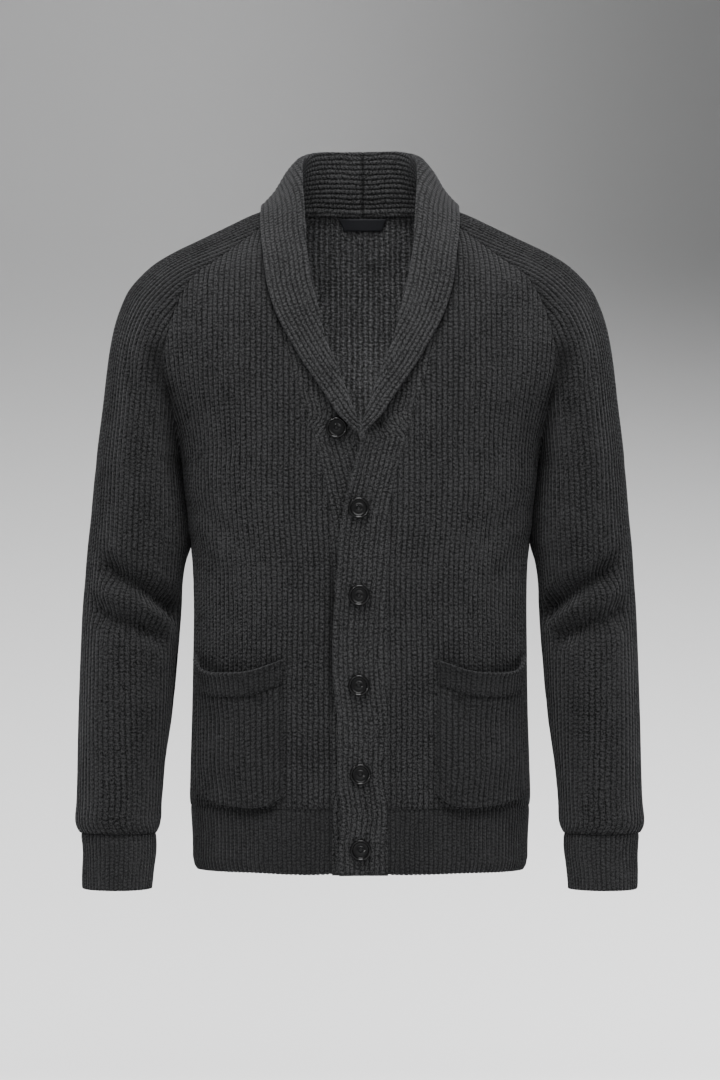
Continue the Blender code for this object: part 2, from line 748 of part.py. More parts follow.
def add_ribbed(name, points, kind, column_step, shift=0.0, fine=()):
    """A wall whose outer face is the grid with ribs up its columns."""
    normal = normals_of(points)
    points = points + normal * np.asarray(shift)[..., None]
    dips = rib_dips(points.shape[1] - 1)
    outer = points + normal * dips[None, :, None]
    inner = set_back(points - normal * WALL, EDGE_ROUND)
    rough_rows = coarse(points.shape[0] - 1, 1)
    rough_columns = coarse(points.shape[1] - 1, column_step, fine)
    return add_wall(name, outer, inner, rough_rows, rough_columns, kind)


def even(count):
    return int(2 * round(0.5 * count))


# ------------------------------------------------------------- pieces
def add_panels():
    half_girth = Ring("front", UNDERARM_Z).reach
    columns = even(2.0 * (half_girth - NECK_SEAM.at("x", -0.5)) / BODY_RIB)
    left = panel_grid("front", "left", columns, PANEL_ROWS)
    right = mirrored(panel_grid("front", "right", columns, PANEL_ROWS))
    at_end = [(columns - SEAM_COLUMNS, columns)]
    at_start = [(0, SEAM_COLUMNS)]
    add_ribbed("front_left", left, "body", 4, fine=at_end)
    add_ribbed("front_right", right, "body", 4, fine=at_start)
    half_back = even(2.0 * Ring("back", UNDERARM_Z).reach / BODY_RIB)
    half = panel_grid("back", "left", half_back, PANEL_ROWS)
    whole = np.concatenate([half[:, ::-1], mirrored(half)[:, ::-1][:, 1:]], axis=1)
    last = 2 * half_back
    add_ribbed("back", whole, "body", 4, fine=at_start + [(last - SEAM_COLUMNS, last)])


def add_waistbands():
    reach = Ring("front", HEM_Z).reach
    columns = even(2.0 * (reach - NECK_SEAM.at("x", HEM_Z)) / WELT_RIB)
    left = waistband_grid("front", "left", columns, 1)
    right = mirrored(waistband_grid("front", "right", columns, 1))
    add_ribbed("waistband_left", left, "rib", 6)
    add_ribbed("waistband_right", right, "rib", 6)
    half_back = even(2.0 * Ring("back", HEM_Z).reach / WELT_RIB)
    half = waistband_grid("back", "left", half_back, 1)
    whole = np.concatenate([half[:, ::-1], mirrored(half)[:, ::-1][:, 1:]], axis=1)
    add_ribbed("waistband_back", whole, "rib", 6)


def add_sleeves():
    full = SleeveRing(UNDERARM_RING)
    columns = even(2.0 * (full.high - full.low) / BODY_RIB)
    points, around = sleeve_grid(columns, SLEEVE_ROWS)
    points = points[:, ::-1]
    around = around[::-1]
    shift = crease_depth(np.broadcast_to(around, points.shape[:2]), points[..., 2])
    steep = [round(0.5 * columns * (1.0 + side * STEEP_SHARE)) for side in (-1.0, 1.0)]
    fine = [(k - SEAM_COLUMNS // 2, k + SEAM_COLUMNS // 2) for k in steep]
    add_ribbed("sleeve_left", points, "sleeve", 4, shift, fine)
    add_ribbed("sleeve_right", mirrored(points), "sleeve", 4, shift[:, ::-1], fine)


def add_cuffs():
    girth = 2.0 * math.pi * 0.040
    columns = even(2.0 * girth / WELT_RIB)
    points = cuff_grid(columns, 2)[:, ::-1]
    add_ribbed("cuff_left", points, "rib", 4)
    add_ribbed("cuff_right", mirrored(points), "rib", 4)


def add_collars():
    heights = [HEM_Z, -0.62, -0.54, -0.46, -0.39, -0.33, -0.29, -0.262]
    stations = np.linspace(0.0, CENTRE_BACK_STATION, STRIP_STATIONS)
    edge_columns = np.minimum(np.arange(STRIP_COLUMNS + 1), np.arange(STRIP_COLUMNS, -1, -1))
    fullness = np.where(edge_columns == 0, 0.55, 1.0)
    for wearer in ("left", "right"):
        middle = strip_grid(wearer, STRIP_COLUMNS, heights, stations)
        middle = middle[:, ::-1] if wearer == "left" else mirrored(middle[:, ::-1])
        half = (0.5 * WALL + rib_dips(STRIP_COLUMNS)) * fullness
        rise = normals_of(middle) * half[None, :, None]
        rise[-1, :, 0] = 0.0
        every_row = list(range(len(middle)))
        every_column = list(range(STRIP_COLUMNS + 1))
        name = f"collar_band_{wearer}"
        add_wall(name, middle + rise, middle - rise, every_row, every_column, "collar")


def pocket_grid(piece, columns, rows):
    """Points of a pocket's patch or welt, lifted off the front."""
    rise = WELT_TURN if piece == "welt" else 0.0
    points = np.zeros((rows + 1, columns + 1, 3))
    for j, across in enumerate(np.linspace(0.0, 1.0, columns + 1)):
        top, bottom = POCKET.at("top", across), POCKET.at("bottom", across)
        seam = (top - WELT_HEIGHT - bottom) / (top - bottom)
        spans = {"patch": (0.0, seam - WELT_GAP), "welt": (seam + WELT_GAP, 1.0)}
        for i, up in enumerate(np.linspace(*spans[piece], rows + 1)):
            height = bottom + (top - bottom) * up
            girth = POCKET_INNER + (POCKET_OUTER - POCKET_INNER) * across
            here = Ring("front", height)
            x, y = here.point(girth)
            after = here.point(girth + 0.002)
            before = here.point(girth - 0.002)
            along = np.array([after[0] - before[0], after[1] - before[1]])
            out = np.array([along[1], -along[0]]) / np.linalg.norm(along)
            fullness = math.sin(math.pi * across) ** 0.7
            swell = fullness * (
                POCKET_BULGE * smoothstep(0.0, 0.35, up)
                + POCKET_MOUTH * smoothstep(0.6, 1.0, up)
            )
            lift = POCKET_SEWN_OUT + swell + rise
            points[i, j] = x + out[0] * lift, y + out[1] * lift, height
    return points


def add_pockets():
    columns = even(2.0 * (POCKET_OUTER - POCKET_INNER) / BODY_RIB)
    patch = pocket_grid("patch", columns, 4)
    welt = pocket_grid("welt", columns, 2)
    add_ribbed("pocket_left", patch, "pocket", 2)
    add_ribbed("pocket_right", mirrored(patch), "pocket", 2)
    add_ribbed("pocket_welt_left", welt, "rib", 2)
    add_ribbed("pocket_welt_right", mirrored(welt), "rib", 2)


def surface_of(name):
    """A tree of an object's triangles, to find its surface along a line."""
    mesh = bpy.data.objects[name].data
    mesh.calc_loop_triangles()
    vertices = [vertex.co for vertex in mesh.vertices]
    triangles = [tuple(triangle.vertices) for triangle in mesh.loop_triangles]
    return BVHTree.FromPolygons(vertices, triangles)


def button_seat(tree, x, height):
    """The highest point under a button, along the normal at its middle."""
    backwards = Vector((0.0, 1.0, 0.0))
    hits = []
    for ring in (0.35, 0.7, 0.95):
        for step in range(12):
            turn = 2.0 * math.pi * (step + 0.5) / 12
            dx = ring * BUTTON_RADIUS * math.cos(turn)
            dz = ring * BUTTON_RADIUS * math.sin(turn)
            hits.append(tree.ray_cast(Vector((x + dx, -1.0, height + dz)), backwards)[0])
    across = sum((h for h in hits if h.x > x), Vector()) / (0.5 * len(hits))
    across -= sum((h for h in hits if h.x <= x), Vector()) / (0.5 * len(hits))
    up = sum((h for h in hits if h.z > height), Vector()) / (0.5 * len(hits))
    up -= sum((h for h in hits if h.z <= height), Vector()) / (0.5 * len(hits))
    normal = across.cross(up).normalized()
    middle = sum(hits, Vector()) / len(hits)
    rise = max((h - middle).dot(normal) for h in hits)
    return middle + normal * (rise + SEAM_GAP), normal


def add_buttons():
    """Turned buttons with a rim round a dish, sewn flat on the bands."""
    profile = bpy.data.meshes.new("button_profile")
    ends = [(i, i + 1) for i in range(len(BUTTON_PROFILE) - 1)]
    profile.from_pydata([(r, 0.0, h) for r, h in BUTTON_PROFILE], ends, [])
    trees = {side: surface_of(f"collar_band_{side}") for side in ("left", "right")}
    for name, wearer, x, height in BUTTON_PLACES:
        place, normal = button_seat(trees[wearer], x, height)
        thing = bpy.data.objects.new(name, profile.copy())
        bpy.data.collections[COLLECTION].objects.link(thing)
        thing.location = place
        thing.rotation_euler = normal.to_track_quat("Z", "Y").to_euler()
        screw = thing.modifiers.new("turn", "SCREW")
        screw.steps = screw.render_steps = BUTTON_STEPS
        screw.use_merge_vertices = True
        screw.merge_threshold = 0.00005
        add_material(thing, "button")


def add_label():
    """A bare woven label on the inside of the back, below the collar."""
    tree = surface_of("back")
    backwards = Vector((0.0, 1.0, 0.0))
    rows = []
    for height, half_width in ((LABEL_BOTTOM_Z, 0.0245), (LABEL_TOP_Z, 0.0260)):
        row = []
        for across in np.linspace(-1.0, 1.0, 7):
            x = CENTRE_BACK_X + across * half_width
            hit = tree.ray_cast(Vector((x, 0.0, height)), backwards)[0]
            row.append((x, hit.y - SEAM_GAP - LABEL_THICKNESS, height))
        rows.append(row)
    front = np.array(rows)
    behind = front + np.array([0.0, LABEL_THICKNESS, 0.0])
    add_wall("neck_label", front, behind, [0, 1], list(range(7)), "label")


def clear_scene():
    for thing in list(bpy.data.objects):
        bpy.data.objects.remove(thing, do_unlink=True)
    collection = bpy.data.collections.new(COLLECTION)
    bpy.context.scene.collection.children.link(collection)


def main():
    clear_scene()
    add_panels()
    add_waistbands()
    add_sleeves()
    add_cuffs()
    add_collars()
    add_pockets()
    add_buttons()
    add_label()


main()
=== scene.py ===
"""Knits a shawl collar cardigan over the pieces of its pattern.

Metres, +Z up. The origin is the middle of the neck at the height of the
shoulder points. The front faces -Y and the wearer's left is +X.
"""

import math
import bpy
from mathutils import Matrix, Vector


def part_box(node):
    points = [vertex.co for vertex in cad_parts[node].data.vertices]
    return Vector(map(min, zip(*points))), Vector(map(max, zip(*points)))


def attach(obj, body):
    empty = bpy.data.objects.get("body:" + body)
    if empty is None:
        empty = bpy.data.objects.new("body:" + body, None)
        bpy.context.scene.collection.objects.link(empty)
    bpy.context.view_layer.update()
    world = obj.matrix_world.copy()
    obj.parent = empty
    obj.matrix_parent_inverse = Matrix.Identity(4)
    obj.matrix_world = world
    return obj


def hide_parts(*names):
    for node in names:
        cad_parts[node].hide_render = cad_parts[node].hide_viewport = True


bl_info = {
    "name": "Shawl Collar Cardigan",
    "version": (1, 0, 0),
    "blender": (4, 5, 0),
    "location": "3D View > Sidebar > Cardigan",
    "description": "Knits a ribbed cardigan with a rolling collar, pockets and buttons",
    "category": "Add Mesh",
}

import bpy
import numpy as np
from bpy.props import FloatProperty, FloatVectorProperty, PointerProperty
from mathutils import Matrix, Vector

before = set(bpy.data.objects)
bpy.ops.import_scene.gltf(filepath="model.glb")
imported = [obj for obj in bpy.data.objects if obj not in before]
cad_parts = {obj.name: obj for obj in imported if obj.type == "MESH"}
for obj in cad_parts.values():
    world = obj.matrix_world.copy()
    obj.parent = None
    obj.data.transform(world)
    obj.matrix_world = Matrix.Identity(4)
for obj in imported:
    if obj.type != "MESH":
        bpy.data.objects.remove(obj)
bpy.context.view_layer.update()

# Cloth
WALL = 0.0032              # the pattern's thickness, which the collar is centred in
ROUNDNESS = 2.5            # exponent of the torso's rings, 2 is an ellipse
UNDERARM_Z = -0.267
WAIST_SEAM_Z = -0.6215
HEM_Z = -0.6895
FRONT_EDGE_TOP_Z = -0.330
BREAK_Z = -0.240           # where the collar starts to roll
LAP = 0.0024               # each front's shift, outwards on the wearer's left
LAP_START = 0.030          # how far from the middle this shift starts to fade
LAP_BLEND = 0.050          # and over what width
CENTRE_BACK_X = 0.003      # the collar's own seam sits a little off centre
WAISTBAND_INSET = 0.0008
BAND_TOP_Z = -0.262        # the last height of the band's own sections
SIDES = {"left": 1.0, "right": -1.0}

# How finely the knit is drawn
POINTS_PER_RIB = 6
COLLAR_COLUMNS = 144
ROW_STEP = 0.0081
EDGE_ROWS = (0.0, 0.0005, 0.0012, 0.0021, 0.0033, 0.0050)


def cubic(start, end, leave, arrive, t):
    """A smooth curve between two values, from the slopes at its ends."""
    blend = t * t * (3.0 - 2.0 * t)
    turns = t * (1.0 - t) * ((1.0 - t) * leave - t * arrive)
    return start * (1.0 - blend) + end * blend + turns


class Table:
    """Named columns, read as curves over the one called at, or over their rows."""

    def __init__(self, columns):
        key = np.array(columns.pop("at", range(len(next(iter(columns.values()))))), float)
        order = np.argsort(key)
        self.key = key[order]
        self.columns = {name: np.array(values)[order] for name, values in columns.items()}

    def at(self, column, place):
        values = self.columns[column]
        slopes = np.gradient(values, self.key)
        place = np.clip(place, self.key[0], self.key[-1])
        i = np.clip(np.searchsorted(self.key, place, "right") - 1, 0, len(values) - 2)
        step = self.key[i + 1] - self.key[i]
        t = (place - self.key[i]) / step
        return cubic(values[i], values[i + 1], slopes[i] * step, slopes[i + 1] * step, t)

    def row(self, place):
        return {name: float(self.at(name, place)) for name in self.columns}


def table(text):
    """A table from text: each name, then its numbers in millimetres or degrees.

    A column may end as another does, which is written as = and that one's name.
    """
    columns = {}
    for word in text.split():
        if word[0].isalpha():
            columns[word] = column = []
            unit = 1.0 if word in ("reach", "facing") else 1000.0
        elif word[0] == "=":
            column += columns[word[1:]][len(column):]
        else:
            column.append(float(word) / unit)
    return Table(columns)


def numbers(text):
    """Rows of numbers in millimetres, from text."""
    return np.array([line.split() for line in text.strip().splitlines()], float) / 1000.0


TORSO = table("""
    at -700 -655 -620 -580 -535 -475 -405 -370 -349 -323 -283 -267 -218 -178 -126 -86 -50 -12 6
    half_width 176.4 176.8 178.6 178 176.6 175.3 174.6 176 178.3 181.2 185.2 186.2 192.6 202.5
        198.5 182.7 147 94.5 80
    front_depth 116.5 117.5 119 120 120.5 121.5 123.5 124.5 125 125.8 126.5 126.5 125.5 121.5
        112.5 101 86 64 56
    back_depth 103.5 104.5 105.5 104.5 102.5 100 99 100 101 103 106 107 110 111 108.5 102 92 79 74
""")

# A ring of the sleeve runs from the front seam over the outer side to the back
# seam. Its half depth and its reach, in degrees from the outer side, say how
# round it is. From the underarm down the two seams are one.
SLEEVE = table("""
    front_x 94.5 108 126 147 170 182.7 192.7 198.5 202 202.5 193 187.5 187 184.5 180.2 179 182.6
        185.9 187.5 192.2 197.8 204.3 207.5 208.2 211.2
    front_z -12 -22 -35.7 -51.5 -68 -86 -108 -126 -150 -178 -218 -253 -269 -285 -323.4 -348.6
        -367.5 -390.6 -419 -474.6 -534.5 -581.7 -616 -638 -650
    back_x 80 94 114 138 163 179 190 197 =front_x
    back_z 0 -8 -23 -41 -60 -80 -104 -124 =front_z
    outer_x 88 112 137 165 195 218.5 238.5 248 257.5 264 269.5 275.5 277.2 279 282.5 285.2 286.7
        288.2 290.3 292.4 294 294.7 295.5 297.2 293.8
    outer_z 5 -3 -15 -28.5 -43 -57.5 -77.5 -93.5 -120 -154 -201 -249 -268 -284 =front_z
    half_depth 59 63 68 73 77 78.5 78.5 78 77 75 73 71.5 71 70.5 69.5 68 66.5 65 63.5 60.5 57 54
        52 51.5 48
    reach 43 48 53 57 62 68 76 85 98 115 141 165 180 180 180 180 180 180 180 180 180 180 180 180 180
    middle_y 6 5 4 3 2.5 2 2 2 2 1.5 1 0 0 0 0 -0.5 -1 -2 -3.5 -8 -14 -19 -22.5 -25 -26.2
""")
UNDERARM_RING = 12
LAST_RING = 24

CUFF = table("""
    at -708.5 -690 -670 -650.3
    inner_x 216.8 215.2 213 212.5
    outer_x 289.3 289.6 289.8 291.8
    half_depth 41.5 42.5 44 46
    middle_y -32 -30.5 -28.5 -26.5
""")

# The seam between a front and the collar, up the front edge and the neck
NECK_SEAM = table("""
    at -700 -500 -330 -280 -236 -195 -164 -140 -113 -81 -48 -12
    x 28.7 28.8 30 35.9 48 61.5 71 77.5 83.5 88.5 92.2 94.5
""")

# The free edge of the band on the wearer's left, which lies on top
BAND_EDGE = table("""
    at -700 -655 -627 -598 -530 -500 -475 -425 -390 -330 -280 -246
    x -21 -21.2 -18.5 -22.6 -22.8 -26.2 -27.8 -27.2 -24.5 -20 -10 -1.2
""")

# Cross-sections of the collar from the break to the centre back. The seam is
# given as a height up to the front's tip and as a length past it from there.
# Facing is the side the roll turns to, 0 forwards and 180 backwards.
COLLAR = table("""
    seam -246 -232 -217 -195 -164 -140 -113 -81 -48 -18 10 34 74 102 132 162
    facing 0 0 0 0 4 8 14 24 35 50 72 95 125 150 168 180
    roll_x 10 5.2 7.2 15 25.6 35.5 41.8 49.3 55.8 58.5 61.2 62.2 57.5 46 26 0
    roll_y -124.8 -127.5 -128.2 -126.2 -121.2 -116 -109.2 -98.5 -85 -64 -33 4 36 57 67.5 71
    roll_z -246 -232 -217.5 -195.4 -164.5 -139.8 -113 -81 -48.5 -19 20 52 62 66 67 67
    edge_x -1.4 6.5 22.5 34.8 57.3 71.8 85.9 95.8 100.3 103.7 104.5 104.5 96 72 40 0
    edge_y -126.2 -132.5 -134.2 -131.5 -123.5 -117.8 -109.8 -98.2 -80.5 -51 -27 6 48 72.5 83.5 87
    edge_z -246 -232.5 -216.1 -197 -164.5 -139.8 -113 -81 -48 -19 -3 5.5 -1 -6.5 -9.5 -10
    spread 0.6 3 6 8.5 9 9.5 10 10 10 10 10 10 10 10 10 10
""")
CENTRE_BACK_STATION = 15
BACK_NECK_DIP = 0.001      # the back neckline's drop from its ends to its middle

# Patch pockets: their inner and outer edges as girths from the centre front
POCKET_INNER = 0.0790
POCKET_OUTER = 0.1890
POCKET_SEWN_OUT = 0.0034   # the pocket's face off the panel where it is sewn
POCKET_BULGE = 0.0070
POCKET_MOUTH = 0.0075      # how far its mouth gapes beyond the bulge
WELT_HEIGHT = 0.0255
WELT_TURN = 0.0012         # the welt's face stands out from the pocket's

# The heights of its mouth and its foot, over thousandths of its width
POCKET = table("""
    at 0 80 250 500 750 920 1000
    top -467.5 -471 -478 -481.1 -478.5 -469.5 -464
    bottom -606.5 -614 -620 -619.5 -616 -611 -608
""")

# Soft creases: both ends, then depth and half width. The ends are across and
# height, but on a sleeve the first is how far around in thousandths, 0 at the
# outer side, 500 in front and 1000 at the underarm.
SLEEVE_CREASES = numbers("""
    220 -366 970 -427 -5.0 11.5
    220 -389 900 -438 1.2 9.5
    160 -412 820 -452 -3.4 10.0
    -300 -372 -900 -416 -2.6 12.5
    -260 -394 -780 -430 1.0 10.5
    -240 -420 -700 -452 -1.6 10.5
    340 -152 620 -238 -1.2 11.0
    -360 -160 -620 -240 -1.2 11.0
""")
FRONT_CREASES = numbers("""
    186 -300 120 -352 -2.2 10
    184 -335 134 -392 -1.8 11
    168 -560 120 -606 -1.6 12
    120 -150 150 -215 1.6 12
""")
BACK_CREASES = numbers("""
    -172 -262 -96 -305 -2.6 13
    170 -256 102 -311 -2.2 12
    -160 -470 -20 -500 -2.6 17
    150 -515 30 -540 -3.0 16
    -60 -560 90 -590 2.2 15
    120 -120 135 -215 -2.0 12
    -125 -125 -132 -210 -1.8 12
""")

# Character of the knit
RIB_CURVE = 0.75           # below 1 the valleys are narrower than the crests
RIB_UNEVEN = 0.16          # every second rib is deeper by this share
RIB_SWING = 0.30           # and the depth wanders by this share
RIB_SWAY = 0.0006          # how far ribs wander sideways
CLOTH_WAVE = 0.0012        # slow unevenness of the whole cloth
SEAM_DEPTH = 0.0008        # how far a sewn edge sinks
SEAM_WIDTH = 0.0030
SEAM_HOLD = 0.020          # how far a sewn edge keeps the cloth even
PINCH = 0.10               # what is left of the thickness at a pinched edge
PINCH_WIDTH = 0.0034
FOLD_DEPTH = 2.9           # the sleeves' creases, against the pattern's
ARMPIT_REACH = 0.0050      # the seams under the arm are pressed together
ARMPIT_RISE = 0.0013
UNDERARM_CLOSE = 0.0018    # how far the sleeve leans on the body's side
UNDERARM_CLOSE_Z = -0.308  # and the middle of where it does
HEM_ROUND = 0.0130         # radius of the waistband's turned lower edge
HEM_TURN = 0.8             # the share of that quarter circle's height it follows
NECK_ROLL = -0.0026        # how far the neck seam's rolled edge stands up
BAND_LIFT = 0.0040         # how far the lapped band's free edge stands off
MOUTH_ROLL = 0.0028        # the rolled top edge of a pocket's welt
FALL_TUCK = 0.0040         # how far the fall draws in over the shoulder
COLLAR_REVERSE = 1.08      # how much lighter the collar's facing is painted: painted light on the turned fall and the stand
REVERSE = 4.2              # how much lighter the inside of the back is painted: painted light where little light reaches it through the neck
REVERSE_HALF_WIDTH = 0.095
LABEL_INSET = 0.0042
LABEL_RISE = 0.0020        # above its place in the pattern
LABEL_HALF_WIDTH = 0.0208  # at its foot
LABEL_FLARE = 0.0058       # how much wider each half is at the top
LABEL_CLOTH = 0.0007
BUTTONHOLE = (0.0208, -0.2262)
BUTTONHOLE_LENGTH = 0.0105
BUTTONHOLE_CORD = 0.0011   # radius of its stitched edge
CUFFWARD_LOSS = 0.45       # the share of its relief that a sleeve loses downwards

# A button's turning as radii and heights, from the middle of its back to the
# middle of its dished face
BUTTON_SIDES = 48
BUTTON_TURNING = numbers("""
    0.6 8.5 10 10.9 11.1 10.8 10.1 9.3 8.6 8.1 7.7 7.1 4.6 3.3 2.9 2.5 2.1 0.6
    0 0 0.4 1.4 2.4 3.5 4.3 4.5 4.1 3.0 2.5 2.4 2.4 2.6 2.9 2.9 2.3 2.2
""").T
DISH_HEIGHT = 0.0022
HOLE_OUT = 0.00105
HOLE_RADIUS = 0.00045
THREAD_RADIUS = 0.00028
BUTTON_SPIN = (10.0, 65.0, 34.0, 80.0, 22.0, 50.0)

# Lines where little light comes in: the pieces they darken, half width in
# millimetres and share of the light lost, then pairs of across and height
UNDER_POCKET = "171.8 -615.7 154.3 -620.7 133.8 -625.1 112.2 -627 91.6 -622.8 78.2 -613"
CONTACTS = [
    ("front", 2.8, 0.40, "207.9 -152 198.6 -181.8 188.7 -220.9 183.2 -260 181.1 -283.7 176.4 -323.8 "
        "175.4 -347.5"),
    ("front", 4.2, 0.55, "101.9 -13.1 99.8 -45 96.2 -78.9 87.5 -109.8 75.6 -138.1 60.2 -163.8 "
        "44.8 -183.9 29.8 -204.5 18.5 -218.9"),
    ("front", 3.4, 0.55, "168.8 -464.8 161.6 -472 149.7 -478.7 137.9 -480.2 106.5 -477.7 81.3 -468.9"),
    ("front", 3.4, 0.45, UNDER_POCKET),
    ("waistband", 3.4, 0.50, UNDER_POCKET),
    ("front", 3.0, 0.14, "78.2 -473 77.7 -541 77.7 -613"),
    (("front_right", "waistband_right"), 4.5, 0.50, "2.6 -242.5 11.8 -278.6 22.1 -331 28.3 -396.9 "
        "30.4 -471 28.3 -494.6 25.2 -523.5 25.2 -593.4 22.1 -622.2 24.2 -650 22.1 -689.1"),
    (("front_left", "collar_band_left"), 1.3, 0.85, "22.1 -219.4 20.6 -230.2"),
    ("sleeve", 10.0, 0.55, "212.6 -150 203.2 -180.2 193.2 -219.7 187.6 -259.2 185.6 -283.1 "
        "180.8 -323.6 179.8 -347.5"),
    ("sleeve", 8.5, 0.38, "257.8 -369.4 223.5 -394.3 189.2 -419.3"),
    ("sleeve", 6.5, 0.30, "265.1 -414.1 239.1 -428.6 207.9 -442.1"),
    (("pocket_left", "pocket_right"), 1.7, 0.45, "167.7 -501.8 161.6 -506 129.7 -509.1 81.3 -503.9"),
    ("back", 3.2, 0.60, "0 -10 68 -8.5"),
]
SEAM_LOSS = 0.28           # the light lost in a seam
GROOVE_LOSS = 0.80         # and in the groove of a pinched one
GROOVE_WIDTH = 0.0013

FLOOR_Z = -1.35
FLOOR_END_Y = 6.5          # just before the floor's far edge
PAPER_TONES = (0.88, 0.99, 0.20, 0.075)   # painted light and shade of the paper: low left, low right, top left, top right


def smoothstep(low, high, value):
    t = np.clip((value - low) / (high - low), 0.0, 1.0)
    return t * t * (3.0 - 2.0 * t)


def hump(distance, width):
    """1 at no distance, and almost nothing beyond twice the width."""
    return np.exp(-((distance / width) ** 2))


def halved(holds, low, high, steps):
    """The last place found where something holds, and the first where it doesn't."""
    for _ in range(steps):
        middle = 0.5 * (low + high)
        if holds(middle):
            low = middle
        else:
            high = middle
    return low, high


def run_length(line):
    """The length along a line of points, from its start to each of them."""
    steps = np.linalg.norm(np.diff(line, axis=0), axis=1)
    return np.concatenate([[0.0], np.cumsum(steps)])


def read_line(places, along, line):
    return np.stack([np.interp(places, along, part) for part in line.T], -1)


def resampled(line, columns):
    """The same line with evenly spaced points."""
    along = run_length(line)
    return read_line(np.linspace(0.0, along[-1], columns + 1), along, line)


# ---- The pattern's shape
def seam_table(side):
    """The raglan seam's x and y over its height, on the front or the back."""
    upper = {name: values[: UNDERARM_RING + 1] for name, values in SLEEVE.columns.items()}
    depth = upper["half_depth"] * np.sin(np.radians(upper["reach"]))
    y = upper["middle_y"] + (-depth if side == "front" else depth)
    return Table({"at": upper[f"{side}_z"], "x": upper[f"{side}_x"], "y": y})


RAGLAN = {side: seam_table(side) for side in ("front", "back")}


class Outline:
    """A line of points that is read at a girth."""

    def __init__(self, line):
        self.line = line
        self.girths = run_length(line)

    def point(self, girth):
        return read_line(girth, self.girths, self.line)


class Ring(Outline):
    """A quarter of the torso's outline at one height, on the front or back."""

    def __init__(self, side, height, inset=0.0):
        depth = float(TORSO.at(f"{side}_depth", height)) - inset
        half_width = float(TORSO.at("half_width", height)) - inset
        end = 0.5 * math.pi
        if height > UNDERARM_Z:
            seam = RAGLAN[side].row(height)
            share = abs(seam["y"] / depth) ** ROUNDNESS
            half_width = seam["x"] / (1.0 - share) ** (1.0 / ROUNDNESS)
            end = math.asin((seam["x"] / half_width) ** (0.5 * ROUNDNESS))
        angle = np.linspace(0.0, end, 121)
        x = half_width * np.abs(np.sin(angle)) ** (2.0 / ROUNDNESS)
        y = depth * np.abs(np.cos(angle)) ** (2.0 / ROUNDNESS)
        super().__init__(np.stack([x, -y if side == "front" else y], 1))
        self.reach = self.girths[-1]

    def girth_at(self, x):
        return float(np.interp(x, self.line[:, 0], self.girths))


def lap_shift(x, height, wearer):
    """How far a front moves forwards, so that the bands lie on each other."""
    near_edge = 1.0 - smoothstep(LAP_START, LAP_START + LAP_BLEND, x)
    below_break = 1.0 - smoothstep(BREAK_Z - 0.004, BREAK_Z + 0.041, height)
    return SIDES[wearer] * LAP * near_edge * below_break


def front_point(x, height, wearer):
    """A point of the front's outer surface, for x on either side of 0."""
    ring = Ring("front", height)
    _, y = ring.point(ring.girth_at(abs(x)))
    return np.array([x, y - lap_shift(x, height, wearer), height])


def neck_x(height):
    return float(NECK_SEAM.at("x", height))


def back_neck_height(x):
    end = SLEEVE.columns["back_x"][0]
    return SLEEVE.columns["back_z"][0] - BACK_NECK_DIP * (1.0 - (x / end) ** 2)


def panel_grid(side, wearer, columns, rows):
    """Rows of points up a front or half of the back, from edge to side."""
    heights = np.linspace(UNDERARM_Z + 0.002, UNDERARM_Z + 0.17, 60)
    widest, widest_z = max((Ring(side, height).reach, height) for height in heights)
    front = side == "front"
    tip = SLEEVE.columns[f"{side}_z"][0]
    points = np.zeros((rows + 1, columns + 1, 3))
    for j in range(columns + 1):

        def spot(height):
            """x and y up this column, and whether they are on the panel."""
            ring = Ring(side, height)
            low = neck_x(min(height, FRONT_EDGE_TOP_Z)) if front else 0.0
            reach = ring.reach if height < widest_z else widest
            girth = low + j / columns * (reach - low)
            x, y = ring.point(girth)
            within = x > neck_x(height) if front else height < back_neck_height(x)
            return x, y, within and (girth <= ring.reach or height <= UNDERARM_Z)

        top = widest_z
        if j == 0 and front:
            top = FRONT_EDGE_TOP_Z
        elif j < columns:
            top, _ = halved(lambda z: spot(z)[2], FRONT_EDGE_TOP_Z - 0.01, tip + 0.004, 22)
        for i, height in enumerate(np.linspace(WAIST_SEAM_Z, top, rows + 1)):
            x, y, _ = spot(height)
            points[i, j] = x, y - lap_shift(x, height, wearer) if front else y, height
    return points


def mirrored(points):
    """The same grid on the other side of the body, its columns turned round."""
    return points[:, ::-1] * np.array([-1.0, 1.0, 1.0])


def on_side(grid, wearer):
    return grid if wearer == "left" else mirrored(grid)


def whole_back(half):
    """Both halves of the back, from the wearer's left to the right."""
    return np.concatenate([half[:, ::-1], mirrored(half)[:, ::-1][:, 1:]], axis=1)


def meets_underarm(grid):
    """Brings the top of a panel's side seam to the sleeve's underarm point."""
    grid[-1, -1] = SleeveRing(UNDERARM_RING).line[0]
    return grid


def waistband_grid(side, wearer, columns, rows):
    """A ring of ribbing under a panel, drawn in a little from it."""
    grid = []
    for height in np.linspace(HEM_Z, WAIST_SEAM_Z, rows + 1):
        turned = max(0.0, 1.0 - (height - HEM_Z) / HEM_ROUND)
        inset = WAISTBAND_INSET + HEM_ROUND * (1.0 - math.sqrt(1.0 - (HEM_TURN * turned) ** 2))
        ring = Ring(side, height, inset)
        low = neck_x(height) if side == "front" else 0.0
        x, y = ring.point(np.linspace(low, ring.reach, columns + 1)).T
        if side == "front":
            y = y - lap_shift(x, height, wearer)
        grid.append(np.stack([x, y, np.full_like(x, height)], axis=1))
    return np.array(grid)


